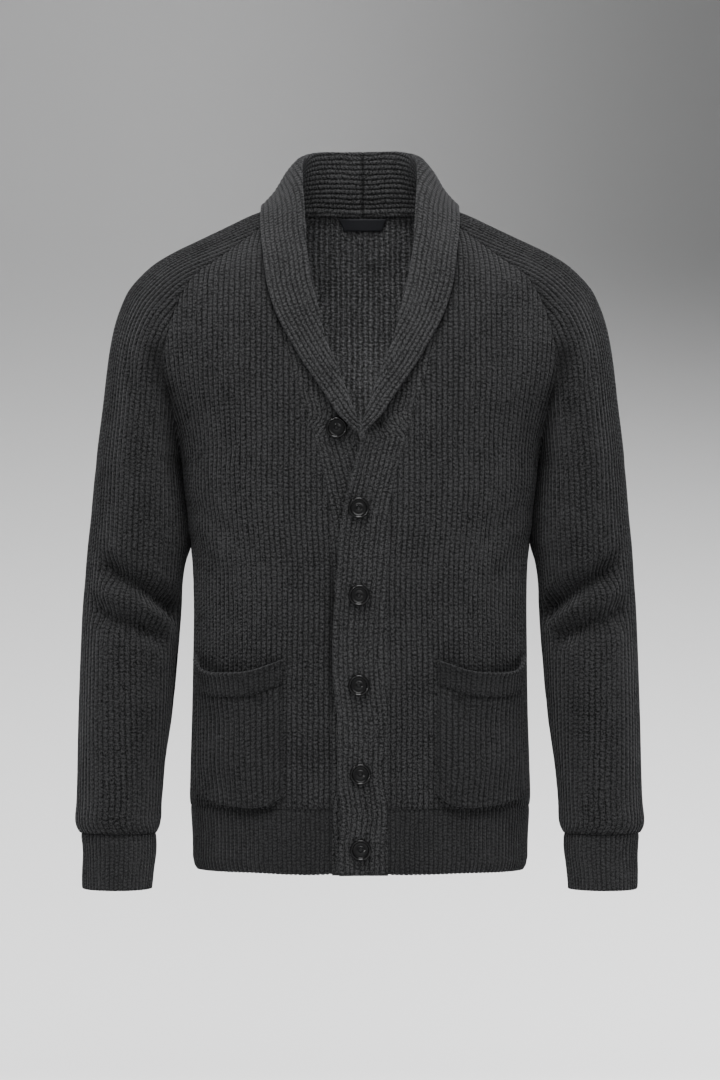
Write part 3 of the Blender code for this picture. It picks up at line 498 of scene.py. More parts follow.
class SleeveRing(Outline):
    """One outline of the sleeve. Its girths start at the outer side, the front's above 0."""

    def __init__(self, station):
        value = SLEEVE.row(station)
        front, back, outer = (
            np.array([value[f"{end}_x"], 0.0, value[f"{end}_z"]]) for end in ("front", "back", "outer")
        )
        closed = station >= UNDERARM_RING
        reach = math.pi if closed else math.radians(value["reach"])
        angle = np.linspace(-reach, reach, 181)
        rise = (np.cos(angle) - math.cos(reach)) / (1.0 - math.cos(reach))
        lean = angle / reach
        middle = 0.5 * (front + back)
        line = middle + np.outer(rise, outer - middle) + np.outer(0.5 * lean, front - back)
        line[:, 1] = value["middle_y"] - value["half_depth"] * np.sin(angle)
        if closed:
            lean_in = UNDERARM_CLOSE * smoothstep(0.064, 0.037, abs(outer[2] - UNDERARM_CLOSE_Z))
            inner = smoothstep(0.6, 0.9, np.abs(lean))
            line[:, 0] -= lean_in * hump(line[:, 1] - 0.004, 0.020) * inner
        super().__init__(line)
        self.girths -= np.interp(0.0, angle, self.girths)
        self.low, self.high = self.girths[0], self.girths[-1]

    def limit(self, share):
        """The girth to the front seam, or to the back one for a share below 0."""
        return self.high if share > 0 else -self.low


def sleeve_grid(columns, rows):
    """Rows of points from the cuff to the raglan seams, each with its girth."""
    full = SleeveRing(UNDERARM_RING)
    points = np.zeros((rows + 1, columns + 1, 4))
    for j, share in enumerate(np.linspace(-1.0, 1.0, columns + 1)):
        wanted = abs(share) * full.limit(share)

        def narrow(station):
            return SleeveRing(station).limit(share) <= wanted

        _, end = halved(narrow, 0.0, float(UNDERARM_RING), 24)
        for i in range(rows + 1):
            station = LAST_RING + (end - LAST_RING) * i / rows
            ring = SleeveRing(station)
            girth = share * (ring if station >= UNDERARM_RING else full).limit(share)
            points[i, j] = *ring.point(girth), girth
    return points


def sleeve_folds(around, height):
    """The outward shift of the sleeve's creases at each point of its grid."""
    total = np.zeros_like(height)
    for u0, z0, u1, z1, depth, half_width in SLEEVE_CREASES:
        t = np.clip((around - u0) / (u1 - u0), 0.0, 1.0)
        within = smoothstep(0.0, 0.22, t) * (1.0 - smoothstep(0.80, 1.0, t))
        total += FOLD_DEPTH * depth * within * hump(height - z0 - (z1 - z0) * t, half_width)
    return total


def cuff_grid(columns, rows):
    """Rows of points up a cuff, each once round it from the underside."""
    turn = np.linspace(-math.pi, math.pi, 181)
    grid = []
    for height in np.linspace(CUFF.key[0], CUFF.key[-1], rows + 1):
        value = CUFF.row(height)
        inner, outer = value["inner_x"], value["outer_x"]
        x = 0.5 * (inner + outer) + 0.5 * (outer - inner) * np.cos(turn)
        y = value["middle_y"] - value["half_depth"] * np.sin(turn)
        grid.append(resampled(np.stack([x, y, np.full_like(turn, height)], axis=1), columns))
    return np.array(grid)


def neckline(seam, wearer):
    """The middle of the cloth on the neck seam: a height or a length past it."""
    tip = SLEEVE.columns["front_z"][0]
    if seam <= tip:
        return front_point(neck_x(seam), seam, wearer) + (0.0, 0.5 * WALL, 0.0)
    top = SleeveRing(0)
    length = seam - tip
    whole = top.high - top.low
    if length <= whole:
        return top.point(top.high - length) - (0.0, 0.0, 0.5 * WALL)
    ring = Ring("back", SLEEVE.columns["back_z"][0])
    x, y = ring.point(max(ring.reach - (length - whole), 0.0))
    return np.array([x, y - 0.5 * WALL, back_neck_height(x)])


def collar_section(station, wearer, columns):
    """Points across the collar, from its seam over the roll to its edge."""
    value = COLLAR.row(station)
    seam = neckline(value["seam"], wearer)
    roll, edge = (np.array([value[f"{end}_{axis}"] for axis in "xyz"]) for end in ("roll", "edge"))
    turn = math.radians(value["facing"])
    lift = SIDES[wearer] * LAP * (1.0 - smoothstep(0.0, 3.0, station))
    roll[1] -= lift
    edge[1] -= lift
    near_back = smoothstep(13.0, float(CENTRE_BACK_STATION), station)
    for point in (seam, roll, edge):
        point[0] += near_back * SIDES[wearer] * CENTRE_BACK_X
    middle = (8.0 * roll - seam - edge) / 6.0
    spread = value["spread"] * np.array([math.sin(turn), -math.cos(turn), 0.0])
    t = np.linspace(0.0, 1.0, 121)[:, None]
    inner = 3 * t * (1 - t) ** 2 * (middle - spread) + 3 * t * t * (1 - t) * (middle + spread)
    return resampled((1 - t) ** 3 * seam + inner + t**3 * edge, columns)


def band_section(height, wearer, columns):
    """Points across the flat band, from its seam to its free edge."""
    xs = np.linspace(neck_x(height), float(BAND_EDGE.at("x", height)), columns + 1)
    return np.array([front_point(x, height, wearer) for x in xs]) + (0.0, 0.5 * WALL, 0.0)


def strip_grid(wearer, columns, heights, stations):
    """The middle surface of the band and collar, from the hem to the back."""
    rows = [band_section(height, wearer, columns) for height in heights]
    rows += [collar_section(station, wearer, columns) for station in stations]
    grid = np.array(rows)
    grid[-1, :, 0] = SIDES[wearer] * CENTRE_BACK_X
    return grid


def pocket_grid(piece, columns, rows):
    """Points of a pocket's patch or welt, lifted off the front."""
    points = np.zeros((rows + 1, columns + 1, 3))
    for j, across in enumerate(np.linspace(0.0, 1.0, columns + 1)):
        top, bottom = POCKET.at("top", across), POCKET.at("bottom", across)
        seam = (top - WELT_HEIGHT - bottom) / (top - bottom)
        span = (seam, 1.0) if piece == "welt" else (0.0, seam)
        girth = POCKET_INNER + (POCKET_OUTER - POCKET_INNER) * across
        fullness = math.sin(math.pi * across) ** 0.7
        for i, up in enumerate(np.linspace(*span, rows + 1)):
            height = bottom + (top - bottom) * up
            ring = Ring("front", height)
            along = ring.point(girth + 0.002) - ring.point(girth - 0.002)
            out = np.array([along[1], -along[0]]) / np.linalg.norm(along)
            mouth = POCKET_MOUTH * smoothstep(0.6, 1.0, up)
            swell = fullness * (POCKET_BULGE * smoothstep(0.0, 0.35, up) + mouth)
            lift = POCKET_SEWN_OUT + swell + (WELT_TURN if piece == "welt" else 0.0)
            points[i, j] = *(ring.point(girth) + out * lift), height
    return points


def unit(vectors):
    return vectors / np.maximum(np.linalg.norm(vectors, axis=2, keepdims=True), 1e-12)


def normals_of(points):
    """Unit normals of a grid: along its rows crossed with up its columns."""
    return unit(np.cross(np.gradient(points, axis=1), np.gradient(points, axis=0)))


# ---- Knitted cloth
def read_at(values, places):
    """Values at places from 0 to 1 along their first axis, by smooth curves."""
    last = len(values) - 1
    along = np.clip(np.asarray(places) * last, 0.0, last)
    i = np.minimum(along.astype(int), last - 1)
    t = (along - i).reshape(-1, *[1] * (values.ndim - 1))
    slopes = np.gradient(values, axis=0)
    return cubic(values[i], values[i + 1], slopes[i], slopes[i + 1], t)


def refined(grid, up, across):
    """A coarse grid's surface, read at more rows and columns."""
    return np.moveaxis(read_at(np.moveaxis(read_at(grid, up), 1, 0), across), 0, 1)


def measured(grid, axis):
    """The length along a grid's rows (axis 1) or columns (axis 0), so far."""
    steps = np.linalg.norm(np.diff(grid, axis=axis), axis=2)
    start = np.zeros_like(np.take(steps, [0], axis=axis))
    return np.concatenate([start, np.cumsum(steps, axis=axis)], axis=axis)


def row_places(length):
    """Places up a piece: even rows, with finer ones next to both edges."""
    near = [step / length for step in EDGE_ROWS]
    count = max(2, round((1.0 - 2.0 * near[-1]) * length / ROW_STEP))
    middle = np.linspace(near[-1], 1.0 - near[-1], count + 1)
    return np.array(near[:-1] + list(middle) + [1.0 - step for step in near[-2::-1]])


def middle_places(grid):
    """Places up a piece, from the length of its middle column."""
    return row_places(float(measured(grid, 0)[-1, grid.shape[1] // 2]))


def wander(shape, cells, seed):
    """A smooth random field from -1 to 1, with so many cells each way."""
    rng = np.random.default_rng(seed)
    field = rng.uniform(-1.0, 1.0, (cells[0] + 1, cells[1] + 1))
    places = [np.linspace(0.0, 1.0, count) for count in shape]
    return refined(field[..., None], *places)[..., 0]


def edge_distance(grid, edge):
    """How far each point lies from one edge of its grid."""
    axis = 0 if edge in ("bottom", "top") else 1
    along = measured(grid, axis)
    if edge in ("bottom", "start"):
        return along
    return np.take(along, [-1], axis=axis) - along


def nearest(ends, across, height):
    """How far along a line its nearest point to each place is, and how far off."""
    a0, z0, a1, z1 = ends
    run, rise = a1 - a0, z1 - z0
    t = ((across - a0) * run + (height - z0) * rise) / (run * run + rise * rise)
    t = np.clip(t, 0.0, 1.0)
    return t, np.hypot(across - a0 - run * t, height - z0 - rise * t)


def crease_field(creases, across, height):
    """Outward shift of a panel's soft creases."""
    total = np.zeros(height.shape)
    for *ends, depth, half_width in creases:
        t, away = nearest(ends, across, height)
        within = smoothstep(0.0, 0.25, t) * (1.0 - smoothstep(0.75, 1.0, t))
        total += depth * within * hump(away, half_width)
    return total


def under_arm(grid):
    """1 beside the arm's seams at the armpit, and 0 elsewhere."""
    x, z = np.abs(grid[..., 0]), grid[..., 2]
    return smoothstep(0.12, 0.14, x) * smoothstep(-0.12, -0.17, z) * smoothstep(-0.31, -0.28, z)


def reached_light(name, points):
    """The share of the light that comes to each point of a piece."""
    light = np.ones(points.shape[:2])
    for pieces, half_width, loss, line in CONTACTS:
        if not name.startswith(pieces):
            continue
        corners = numbers(line).reshape(-1, 2)
        ends = np.hstack([corners[:-1], corners[1:]])
        spans = [nearest(pair, np.abs(points[..., 0]), points[..., 2])[1] for pair in ends]
        light *= 1.0 - loss * hump(np.min(spans, axis=0), half_width / 1000.0)
    return light


def knitted(name, grid, phase, uv, thickness, relief, sewn, free="", pinched="", rise=0.0,
            centred=False):
    """A knitted piece: ribs raised on a grid of points, given a thickness.

    The phase counts ribs across the piece, a crest at each whole number. Sewn
    edges sink into their seam, free edges are round, and rise is what else the
    surface stands out by. Pinched edges are thin.
    """
    edges = ("bottom", "top", "start", "end")
    away = {edge: edge_distance(grid, edge) for edge in edges}
    shape = grid.shape[:2]
    seed = sum(ord(letter) for letter in name)
    rows, columns = max(4, shape[0] // 3), max(4, shape[1] // 9)
    stronger = 1.0 + RIB_UNEVEN * np.cos(math.pi * phase)
    swing = 1.0 + RIB_SWING * wander(shape, (rows, columns), seed)
    ribbing = relief * (np.abs(np.cos(math.pi * phase)) ** RIB_CURVE - 1.0) * stronger * swing
    sideways = RIB_SWAY * wander(shape, (rows, columns), seed + 1)
    wave = CLOTH_WAVE * wander(shape, (max(3, rows // 6), max(3, columns // 5)), seed + 2)
    thin = np.ones(shape)
    if centred:
        thin = np.maximum(1.0 + 2.0 * ribbing / thickness, 0.2)
    else:
        rise = rise + ribbing
    for edge in sewn.split():
        wave = wave * smoothstep(0.0, SEAM_HOLD, away[edge])
        rise = rise - SEAM_DEPTH * hump(away[edge], SEAM_WIDTH)
    rise = rise + wave
    for edge in free.split():
        near = np.clip(away[edge] / (0.5 * thickness), 0.0, 1.0)
        thin = np.minimum(thin, np.sqrt(np.maximum(1.0 - (1.0 - near) ** 2, 0.01)))
    for edge in pinched.split():
        near = smoothstep(0.0, PINCH_WIDTH, away[edge])
        thin = np.minimum(thin, PINCH + (1.0 - PINCH) * near)
    if not centred:
        rise -= 0.5 * thickness * (1.0 - thin)
    for edge in sewn.split():
        near = under_arm(grid) * hump(away[edge], ARMPIT_REACH)
        rise = rise * (1.0 - near) + ARMPIT_RISE * near
    for edge in ("start", "end"):
        sideways = sideways * smoothstep(0.0, 0.004, away[edge])
    points = grid + normals_of(grid) * rise[..., None]
    points += unit(np.gradient(grid, axis=1)) * sideways[..., None]
    light = reached_light(name, points)
    for edge in sewn.split():
        groove = GROOVE_LOSS if edge in pinched else SEAM_LOSS
        light *= 1.0 - groove * hump(away[edge], GROOVE_WIDTH)
    thing = cloth_sheet(name, points, uv, light)
    solidify(thing, thickness, thin, 0.0 if centred else -1.0)
    return thing


def select_only(*things):
    bpy.ops.object.select_all(action="DESELECT")
    for thing in things:
        thing.select_set(True)
        bpy.context.view_layer.objects.active = things[0]


def named_active(name):
    thing = bpy.context.active_object
    thing.name = thing.data.name = name
    return thing


def cloth_sheet(name, points, uv, light=None):
    """A grid primitive, whose points run row by row, laid over the given ones."""
    rows, columns = points.shape[0] - 1, points.shape[1] - 1
    select_only()
    bpy.ops.mesh.primitive_grid_add(x_subdivisions=columns, y_subdivisions=rows, size=2.0)
    thing = named_active(name)
    mesh = thing.data
    mesh.materials.append(None)
    mesh.materials.append(None)
    mesh.vertices.foreach_set("co", points.ravel())
    corners = np.empty(len(mesh.loops), dtype=int)
    mesh.loops.foreach_get("vertex_index", corners)
    mesh.uv_layers[0].data.foreach_set("uv", uv.reshape(-1, 2)[corners].ravel())
    if light is not None:
        layer = mesh.attributes.new("reached_light", "FLOAT", "POINT")
        layer.data.foreach_set("value", light.ravel())
    mesh.update()
    return thing


def solidify(thing, thickness, thin, offset):
    """Gives a sheet its wall, which follows the thinning of its free edges."""
    group = thing.vertex_groups.new(name="thickness")
    select_only(thing)
    weights = np.round(thin.ravel(), 2)
    for weight in np.unique(weights):
        group.add(np.nonzero(weights == weight)[0].tolist(), float(weight), "REPLACE")
    wall = thing.modifiers.new("wall", "SOLIDIFY")
    wall.thickness = thickness
    wall.offset = offset
    wall.vertex_group = "thickness"
    wall.thickness_vertex_group = 0.0
    wall.material_offset = 1
    bpy.ops.object.modifier_apply(modifier="wall")
    bpy.ops.object.shade_smooth()


def close_tube():
    """Merges the two edges that meet in a tube's own seam."""
    bpy.ops.object.mode_set(mode="EDIT")
    bpy.ops.mesh.select_all(action="SELECT")
    bpy.ops.mesh.remove_doubles(threshold=0.00002)
    bpy.ops.object.mode_set(mode="OBJECT")


def dress(thing, material, node, reverse=None):
    """Finishes a piece of cloth: its materials, body and node."""
    thing.data.materials[0] = material
    thing.data.materials[1] = reverse or material
    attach(thing, "root")
    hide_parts(node)


def knit_panel(piece, coarse, slot, sewn, free="", ribs=None, folds=None, rise=None,
               thickness=1.0, material=None, reverse=None, tube=False):
    """Knits and dresses a piece whose ribs follow the columns of its coarse grid."""
    size = sizes()
    welt = slot == "rib_welt"
    pitch = size.welt_rib if welt else size.body_rib
    relief = size.relief * (0.85 if welt else 1.0)
    ribs = ribs or round(float(measured(coarse, 1)[0, -1]) / pitch)
    across = np.linspace(0.0, 1.0, ribs * POINTS_PER_RIB + 1)
    grid = refined(coarse, row_places(float(measured(coarse, 0)[-1].max())), across)
    if folds:
        grid = grid + normals_of(grid) * folds(grid)[..., None]
    phase = np.broadcast_to(across * ribs, grid.shape[:2])
    uv = np.stack([phase * pitch, measured(grid, 0)], axis=2)
    thing = knitted(
        f"{piece}_knit", grid, phase, uv, thickness * size.cloth, relief, sewn, free,
        rise=rise(grid) if rise else 0.0,
    )
    if tube:
        close_tube()
    dress(thing, material or (welt_wool() if welt else body_wool()), piece, reverse)
    return thing


# ---- Materials
def maths(operation, reflected=False):
    """An operator method that joins a signal and another value in a maths node."""

    def method(self, other=0.0):
        values = (other, self) if reflected else (self, other)
        return self.shader.node("ShaderNodeMath", {"operation": operation}, values)

    return method


class Signal:
    """A shader value that Python's operators work on."""

    def __init__(self, shader, socket):
        self.shader = shader
        self.socket = socket

    __add__, __radd__ = maths("ADD"), maths("ADD", True)
    __sub__, __rsub__ = maths("SUBTRACT"), maths("SUBTRACT", True)
    __mul__, __rmul__ = maths("MULTIPLY"), maths("MULTIPLY", True)
    __truediv__, __rtruediv__ = maths("DIVIDE"), maths("DIVIDE", True)
    __pow__, __rpow__ = maths("POWER"), maths("POWER", True)
    __abs__ = maths("ABSOLUTE")
    fraction, whole, cosine = maths("FRACT"), maths("FLOOR"), maths("COSINE")

    def wave(self):
        """A cosine wave from 0 to 1, with one crest to each unit."""
        return (self * (2.0 * math.pi)).cosine() * 0.5 + 0.5

    def beside(self, output):
        """Another output of the same node."""
        return Signal(self.shader, self.socket.node.outputs[output])


class Shader:
    """A material's node tree, with one Principled shader."""

    def __init__(self, name):
        self.material = bpy.data.materials.new(name)
        self.material.use_nodes = True
        self.tree = self.material.node_tree
        self.surface = self.tree.nodes["Principled BSDF"]

    def node(self, kind, settings=None, values=(), output=0):
        """Adds a node and gives an output. Values are in socket order, or a dict."""
        node = self.tree.nodes.new(kind)
        for key, value in (settings or {}).items():
            setattr(node, key, value)
        for key, value in values.items() if isinstance(values, dict) else enumerate(values):
            self.feed(node.inputs[key], value)
        return Signal(self, node.outputs[output])

    def feed(self, socket, value):
        if isinstance(value, Signal):
            self.tree.links.new(value.socket, socket)
        else:
            socket.default_value = value

    def place(self):
        return self.node("ShaderNodeTexCoord", output="Object")

    def split(self, vector):
        """A vector's X, with its Y and Z beside it."""
        return self.node("ShaderNodeSeparateXYZ", None, [vector])

    def noise(self, place, scale, detail=2.0):
        values = {"Vector": place, "Scale": scale, "Detail": detail}
        return self.node("ShaderNodeTexNoise", None, values)

    def mix(self, factor, first, second):
        values = {0: factor, 6: first, 7: second}
        return self.node("ShaderNodeMix", {"data_type": "RGBA"}, values, 2)

    def ramp(self, value, low, high):
        values = {"Value": value, "From Min": low, "From Max": high}
        return self.node("ShaderNodeMapRange", {"interpolation_type": "SMOOTHSTEP"}, values)

    def bump(self, height, distance, strength):
        values = {"Strength": strength, "Distance": distance, "Height": height}
        return self.node("ShaderNodeBump", None, values)

    def finish(self, **values):
        """Sets the surface's sockets, and gives the material."""
        for name, value in values.items():
            self.feed(self.surface.inputs[name.replace("_", " ")], value)
        return self.material


def tinted(colour, share):
    return tuple(min(1.0, part * share) for part in colour[:3]) + (1.0,)


def wool(name, colour, pitch, stitch, contrast=1.0):
    """Carded wool in a bumpy rib: one column of knit stitches to each rib."""
    shader = Shader(name)
    layout = shader.node("ShaderNodeUVMap", {"uv_map": "UVMap"})
    place = shader.place()
    parts = shader.split(layout)
    across = parts + (shader.noise(layout, 95.0) - 0.5) * 0.0022
    up = parts.beside("Y") + (shader.noise(layout, 140.0, 3.0) - 0.5) * 0.0042
    ribs = across / pitch + 0.5
    leg = abs(ribs.fraction() - 0.5)
    stitches = up / stitch + (ribs.whole() * 0.5).fraction() * 0.6
    bead = (stitches - leg * 0.6).wave()
    height = (1.0 - (leg * 2.0) ** 2.4) * (bead * 0.52 + 0.48)
    hair = shader.noise(layout, 1500.0, 3.0)
    fluff = shader.noise(layout, 420.0, 3.0) - 0.5
    fleck = shader.noise(place, 980.0) - 0.5
    patch = shader.noise(place, 26.0) - 0.5
    relief = height * 0.80 + fluff * 0.55 + hair * 0.20
    # The yarn's tone: real mélange flecks, fluff and patches, plus painted shade that darkens the
    # valleys between stitches by their height.
    shade = height * 0.95 + fluff * 1.2 + fleck * 4.4 + hair * 0.8 + patch * 0.5 - 0.45
    clamped = shader.node("ShaderNodeClamp", None, [shade])
    dark, light = tinted(colour, 1.0 - 0.78 * contrast), tinted(colour, 1.0 + 1.25 * contrast)
    yarn = shader.mix(clamped, dark, light)
    reached = shader.node("ShaderNodeAttribute", {"attribute_name": "reached_light"}, output="Fac")
    return shader.finish(
        Base_Color=shader.mix(reached, (0.0, 0.0, 0.0, 1.0), yarn),
        Roughness=0.94,
        Specular_IOR_Level=0.25,
        Sheen_Weight=0.22,
        Sheen_Roughness=0.45,
        Sheen_Tint=(0.62, 0.62, 0.64, 1.0),
        Normal=shader.bump(relief, sizes().stitch_relief, 1.0),
    )


def horn(name, colour):
    """Dark polished button stock with faint streaks and fine turning marks."""
    shader = Shader(name)
    place = shader.place()
    cloud = shader.noise(place, 240.0, 4.0)
    return shader.finish(
        Base_Color=shader.mix(cloud, tinted(colour, 0.7), tinted(colour, 1.5)),
        Roughness=cloud * 0.08 + 0.10,
        Specular_IOR_Level=0.46,
        Normal=shader.bump(shader.noise(place, 1800.0), 0.0002, 0.12),
    )


def woven(name, colour, pitch):
    """A close weave of fine threads, for the label and the sewing thread."""
    shader = Shader(name)
    across = shader.split(shader.place())
    up = across.beside("Z")
    diagonal = (across / pitch + up / pitch * 0.5).wave()
    thread = diagonal * 0.6 + (up / pitch).wave() * 0.4
    return shader.finish(
        Base_Color=shader.mix(thread, tinted(colour, 0.7), tinted(colour, 1.3)),
        Roughness=0.62,
        Sheen_Weight=0.15,
        Normal=shader.bump(thread, 0.0002, 0.6),
    )


def backdrop_paper(name, corners):
    """Pale seamless paper, with painted light and shade from corner to corner of the view, darker
    towards the top.
    """
    shader = Shader(name)
    parts = shader.split(shader.place())
    across = shader.ramp(parts, -0.6, 1.0)
    rise = shader.ramp(parts.beside("Z"), -1.6, 0.4)
    greys = [(tone, tone, tone, 1.0) for tone in corners]
    low, high = shader.mix(across, *greys[:2]), shader.mix(across, *greys[2:])
    return shader.finish(Base_Color=shader.mix(rise, low, high), Roughness=0.95)


def found(name, make, *details):
    """The material of that name, made once."""
    return bpy.data.materials.get(name) or make(name, *details)


# ---- Settings
def length_setting(name, default, about, **limits):
    limits = limits or {"min": 0.0}
    return FloatProperty(
        name=name, description=about, default=default, unit="LENGTH", precision=5, **limits
    )


def light_setting(name, default, about):
    return FloatProperty(name=name, description=about, default=default, min=0.0)


def colour_setting(name, colour, about):
    return FloatVectorProperty(
        name=name, description=about, default=(*colour, 1.0), size=4, subtype="COLOR"
    )


class CardiganSizes(bpy.types.PropertyGroup):
    body_rib: length_setting("Body rib", 0.0059, "Width of a rib on the body and sleeves")
    welt_rib: length_setting("Welt rib", 0.0047, "Width of a rib on the waistband and cuffs")
    collar_rib: length_setting("Collar rib", 0.0052, "Width of a rib on the collar")
    stitch: length_setting("Stitch", 0.0045, "Height of a row of stitches")
    welt_stitch: length_setting("Welt stitch", 0.0036, "Height of a row in the welts")
    stitch_relief: length_setting("Stitch relief", 0.0013, "How far the stitches stand up")
    relief: length_setting("Rib relief", 0.0014, "Depth of the valleys between ribs")
    cloth: length_setting("Cloth", 0.0022, "Thickness of the knit without its relief")


class CardiganColours(bpy.types.PropertyGroup):
    body: colour_setting("Body", (0.0250, 0.0250, 0.0255), "Charcoal wool of the body")
    welt: colour_setting("Welts", (0.0222, 0.0222, 0.0227), "Waistband and cuffs")
    collar: colour_setting("Collar", (0.0300, 0.0300, 0.0305), "Collar and front bands")
    pocket: colour_setting("Pockets", (0.0222, 0.0222, 0.0227), "Patch pockets")
    button: colour_setting("Buttons", (0.0035, 0.0033, 0.0033), "Dark horn")
    label: colour_setting("Label", (0.0115, 0.0120, 0.0165), "Woven neck label")
    thread: colour_setting("Thread", (0.0160, 0.0160, 0.0170), "Sewing thread")


class CardiganStage(bpy.types.PropertyGroup):
    distance: length_setting("Camera distance", 5.0, "How far the camera stands off")
    height: length_setting("Camera height", -0.345, "Height of the lens", min=-2.0)
    view: length_setting("View height", 1.134, "Height of the view at the cardigan")
    key: light_setting("Key light", 64.0, "Power of the light from above")
    front: light_setting("Front light", 17.0, "Power of the light by the lens")
    rim: light_setting("Rim lights", 5.0, "Power of each strip")
    paper: light_setting("Paper light", 221.0, "Power behind")
    sky: light_setting("Sky", 0.37, "Strength of the even light")


def sizes():
    return bpy.context.scene.cardigan_sizes


def colours():
    return bpy.context.scene.cardigan_colours


def body_wool(name="body_wool", tint=1.0, contrast=1.24):
    size = sizes()
    return found(name, wool, tinted(colours().body, tint), size.body_rib, size.stitch, contrast)


def welt_wool(name="welt_wool", tint=1.0):
    size = sizes()
    return found(name, wool, tinted(colours().welt, tint), size.welt_rib, size.welt_stitch, 0.8)


# ---- Pieces
class CARDIGAN_OT_panels(bpy.types.Operator):
    """Knit the back and the two fronts"""

    bl_idname = "cardigan.panels"
    bl_label = "Back and fronts"

    def execute(self, context):
        size = sizes()
        look = ("body_rib", "bottom top start end")
        reach = Ring("front", UNDERARM_Z).reach - neck_x(HEM_Z)
        for wearer in SIDES:
            half = meets_underarm(panel_grid("front", wearer, columns=44, rows=30))
            knit_panel(
                f"front_{wearer}", on_side(half, wearer), *look, ribs=round(reach / size.body_rib),
                folds=lambda grid: crease_field(FRONT_CREASES, np.abs(grid[..., 0]), grid[..., 2]),
            )
        coarse = whole_back(meets_underarm(panel_grid("back", "left", columns=44, rows=30)))
        # The inside of the back gets a lighter copy of the body's wool: painted light.
        back = knit_panel(
            "back", coarse, *look, ribs=2 * round(Ring("back", UNDERARM_Z).reach / size.body_rib),
            folds=lambda grid: crease_field(BACK_CREASES, grid[..., 0], grid[..., 2]),
            reverse=body_wool("body_reverse", REVERSE, 1.0),
        )
        # Only the inside near the neck keeps the painted light; beyond this half width the inside
        # takes the body's wool.
        for polygon in back.data.polygons:
            if abs(polygon.center.x) > REVERSE_HALF_WIDTH:
                polygon.material_index = 0
        return {"FINISHED"}


class CARDIGAN_OT_waistband(bpy.types.Operator):
    """Knit the waistband's back and its two fronts"""

    bl_idname = "cardigan.waistband"
    bl_label = "Waistband"

    def execute(self, context):
        cells = {"columns": 40, "rows": 24}
        grids = {side: on_side(waistband_grid("front", side, **cells), side) for side in SIDES}
        grids["back"] = whole_back(waistband_grid("back", "left", **cells))
        for side, coarse in grids.items():
            knit_panel(f"waistband_{side}", coarse, "rib_welt", "top start end", "bottom")
        return {"FINISHED"}


class CARDIGAN_OT_sleeves(bpy.types.Operator):
    """Knit the two raglan sleeves, with the creases at their elbows"""

    bl_idname = "cardigan.sleeves"
    bl_label = "Sleeves"

    def execute(self, context):
        size = sizes()
        coarse = sleeve_grid(columns=72, rows=56)
        full = SleeveRing(UNDERARM_RING)
        ribs = round((full.high - full.low) / size.body_rib)
        across = np.linspace(0.0, 1.0, ribs * POINTS_PER_RIB + 1)
        fine = refined(coarse[:, ::-1], middle_places(coarse[..., :3]), across)
        fine, girth = fine[..., :3], fine[..., 3]
        around = np.broadcast_to(1.0 - 2.0 * across, girth.shape)
        fine = fine + normals_of(fine) * sleeve_folds(around, fine[..., 2])[..., None]
        loss = CUFFWARD_LOSS * smoothstep(0.36, 0.46, -fine[..., 2])
        relief = size.relief * (1.0 - loss)
        for wearer in SIDES:
            grid = on_side(fine, wearer)
            turn = girth if wearer == "left" else girth[:, ::-1]
            uv = np.stack([turn, measured(grid, 0)], axis=2)
            name = f"sleeve_{wearer}"
            phase = turn / size.body_rib
            thing = knitted(f"{name}_knit", grid, phase, uv, size.cloth, relief, "bottom top")
            close_tube()
            # The sleeves get a darker copy of the body's wool: painted shade, as they catch more light
            # at the sides.
            dress(thing, body_wool("sleeve_wool", 0.86), name)
        return {"FINISHED"}


class CARDIGAN_OT_cuffs(bpy.types.Operator):
    """Knit the two cuffs"""

    bl_idname = "cardigan.cuffs"
    bl_label = "Cuffs"

    def execute(self, context):
        look = {"material": welt_wool("cuff_wool", 1.16), "tube": True}
        for wearer in SIDES:
            grid = on_side(cuff_grid(columns=48, rows=6)[:, ::-1], wearer)
            knit_panel(f"cuff_{wearer}", grid, "rib_welt", "top", "bottom", **look)
        return {"FINISHED"}


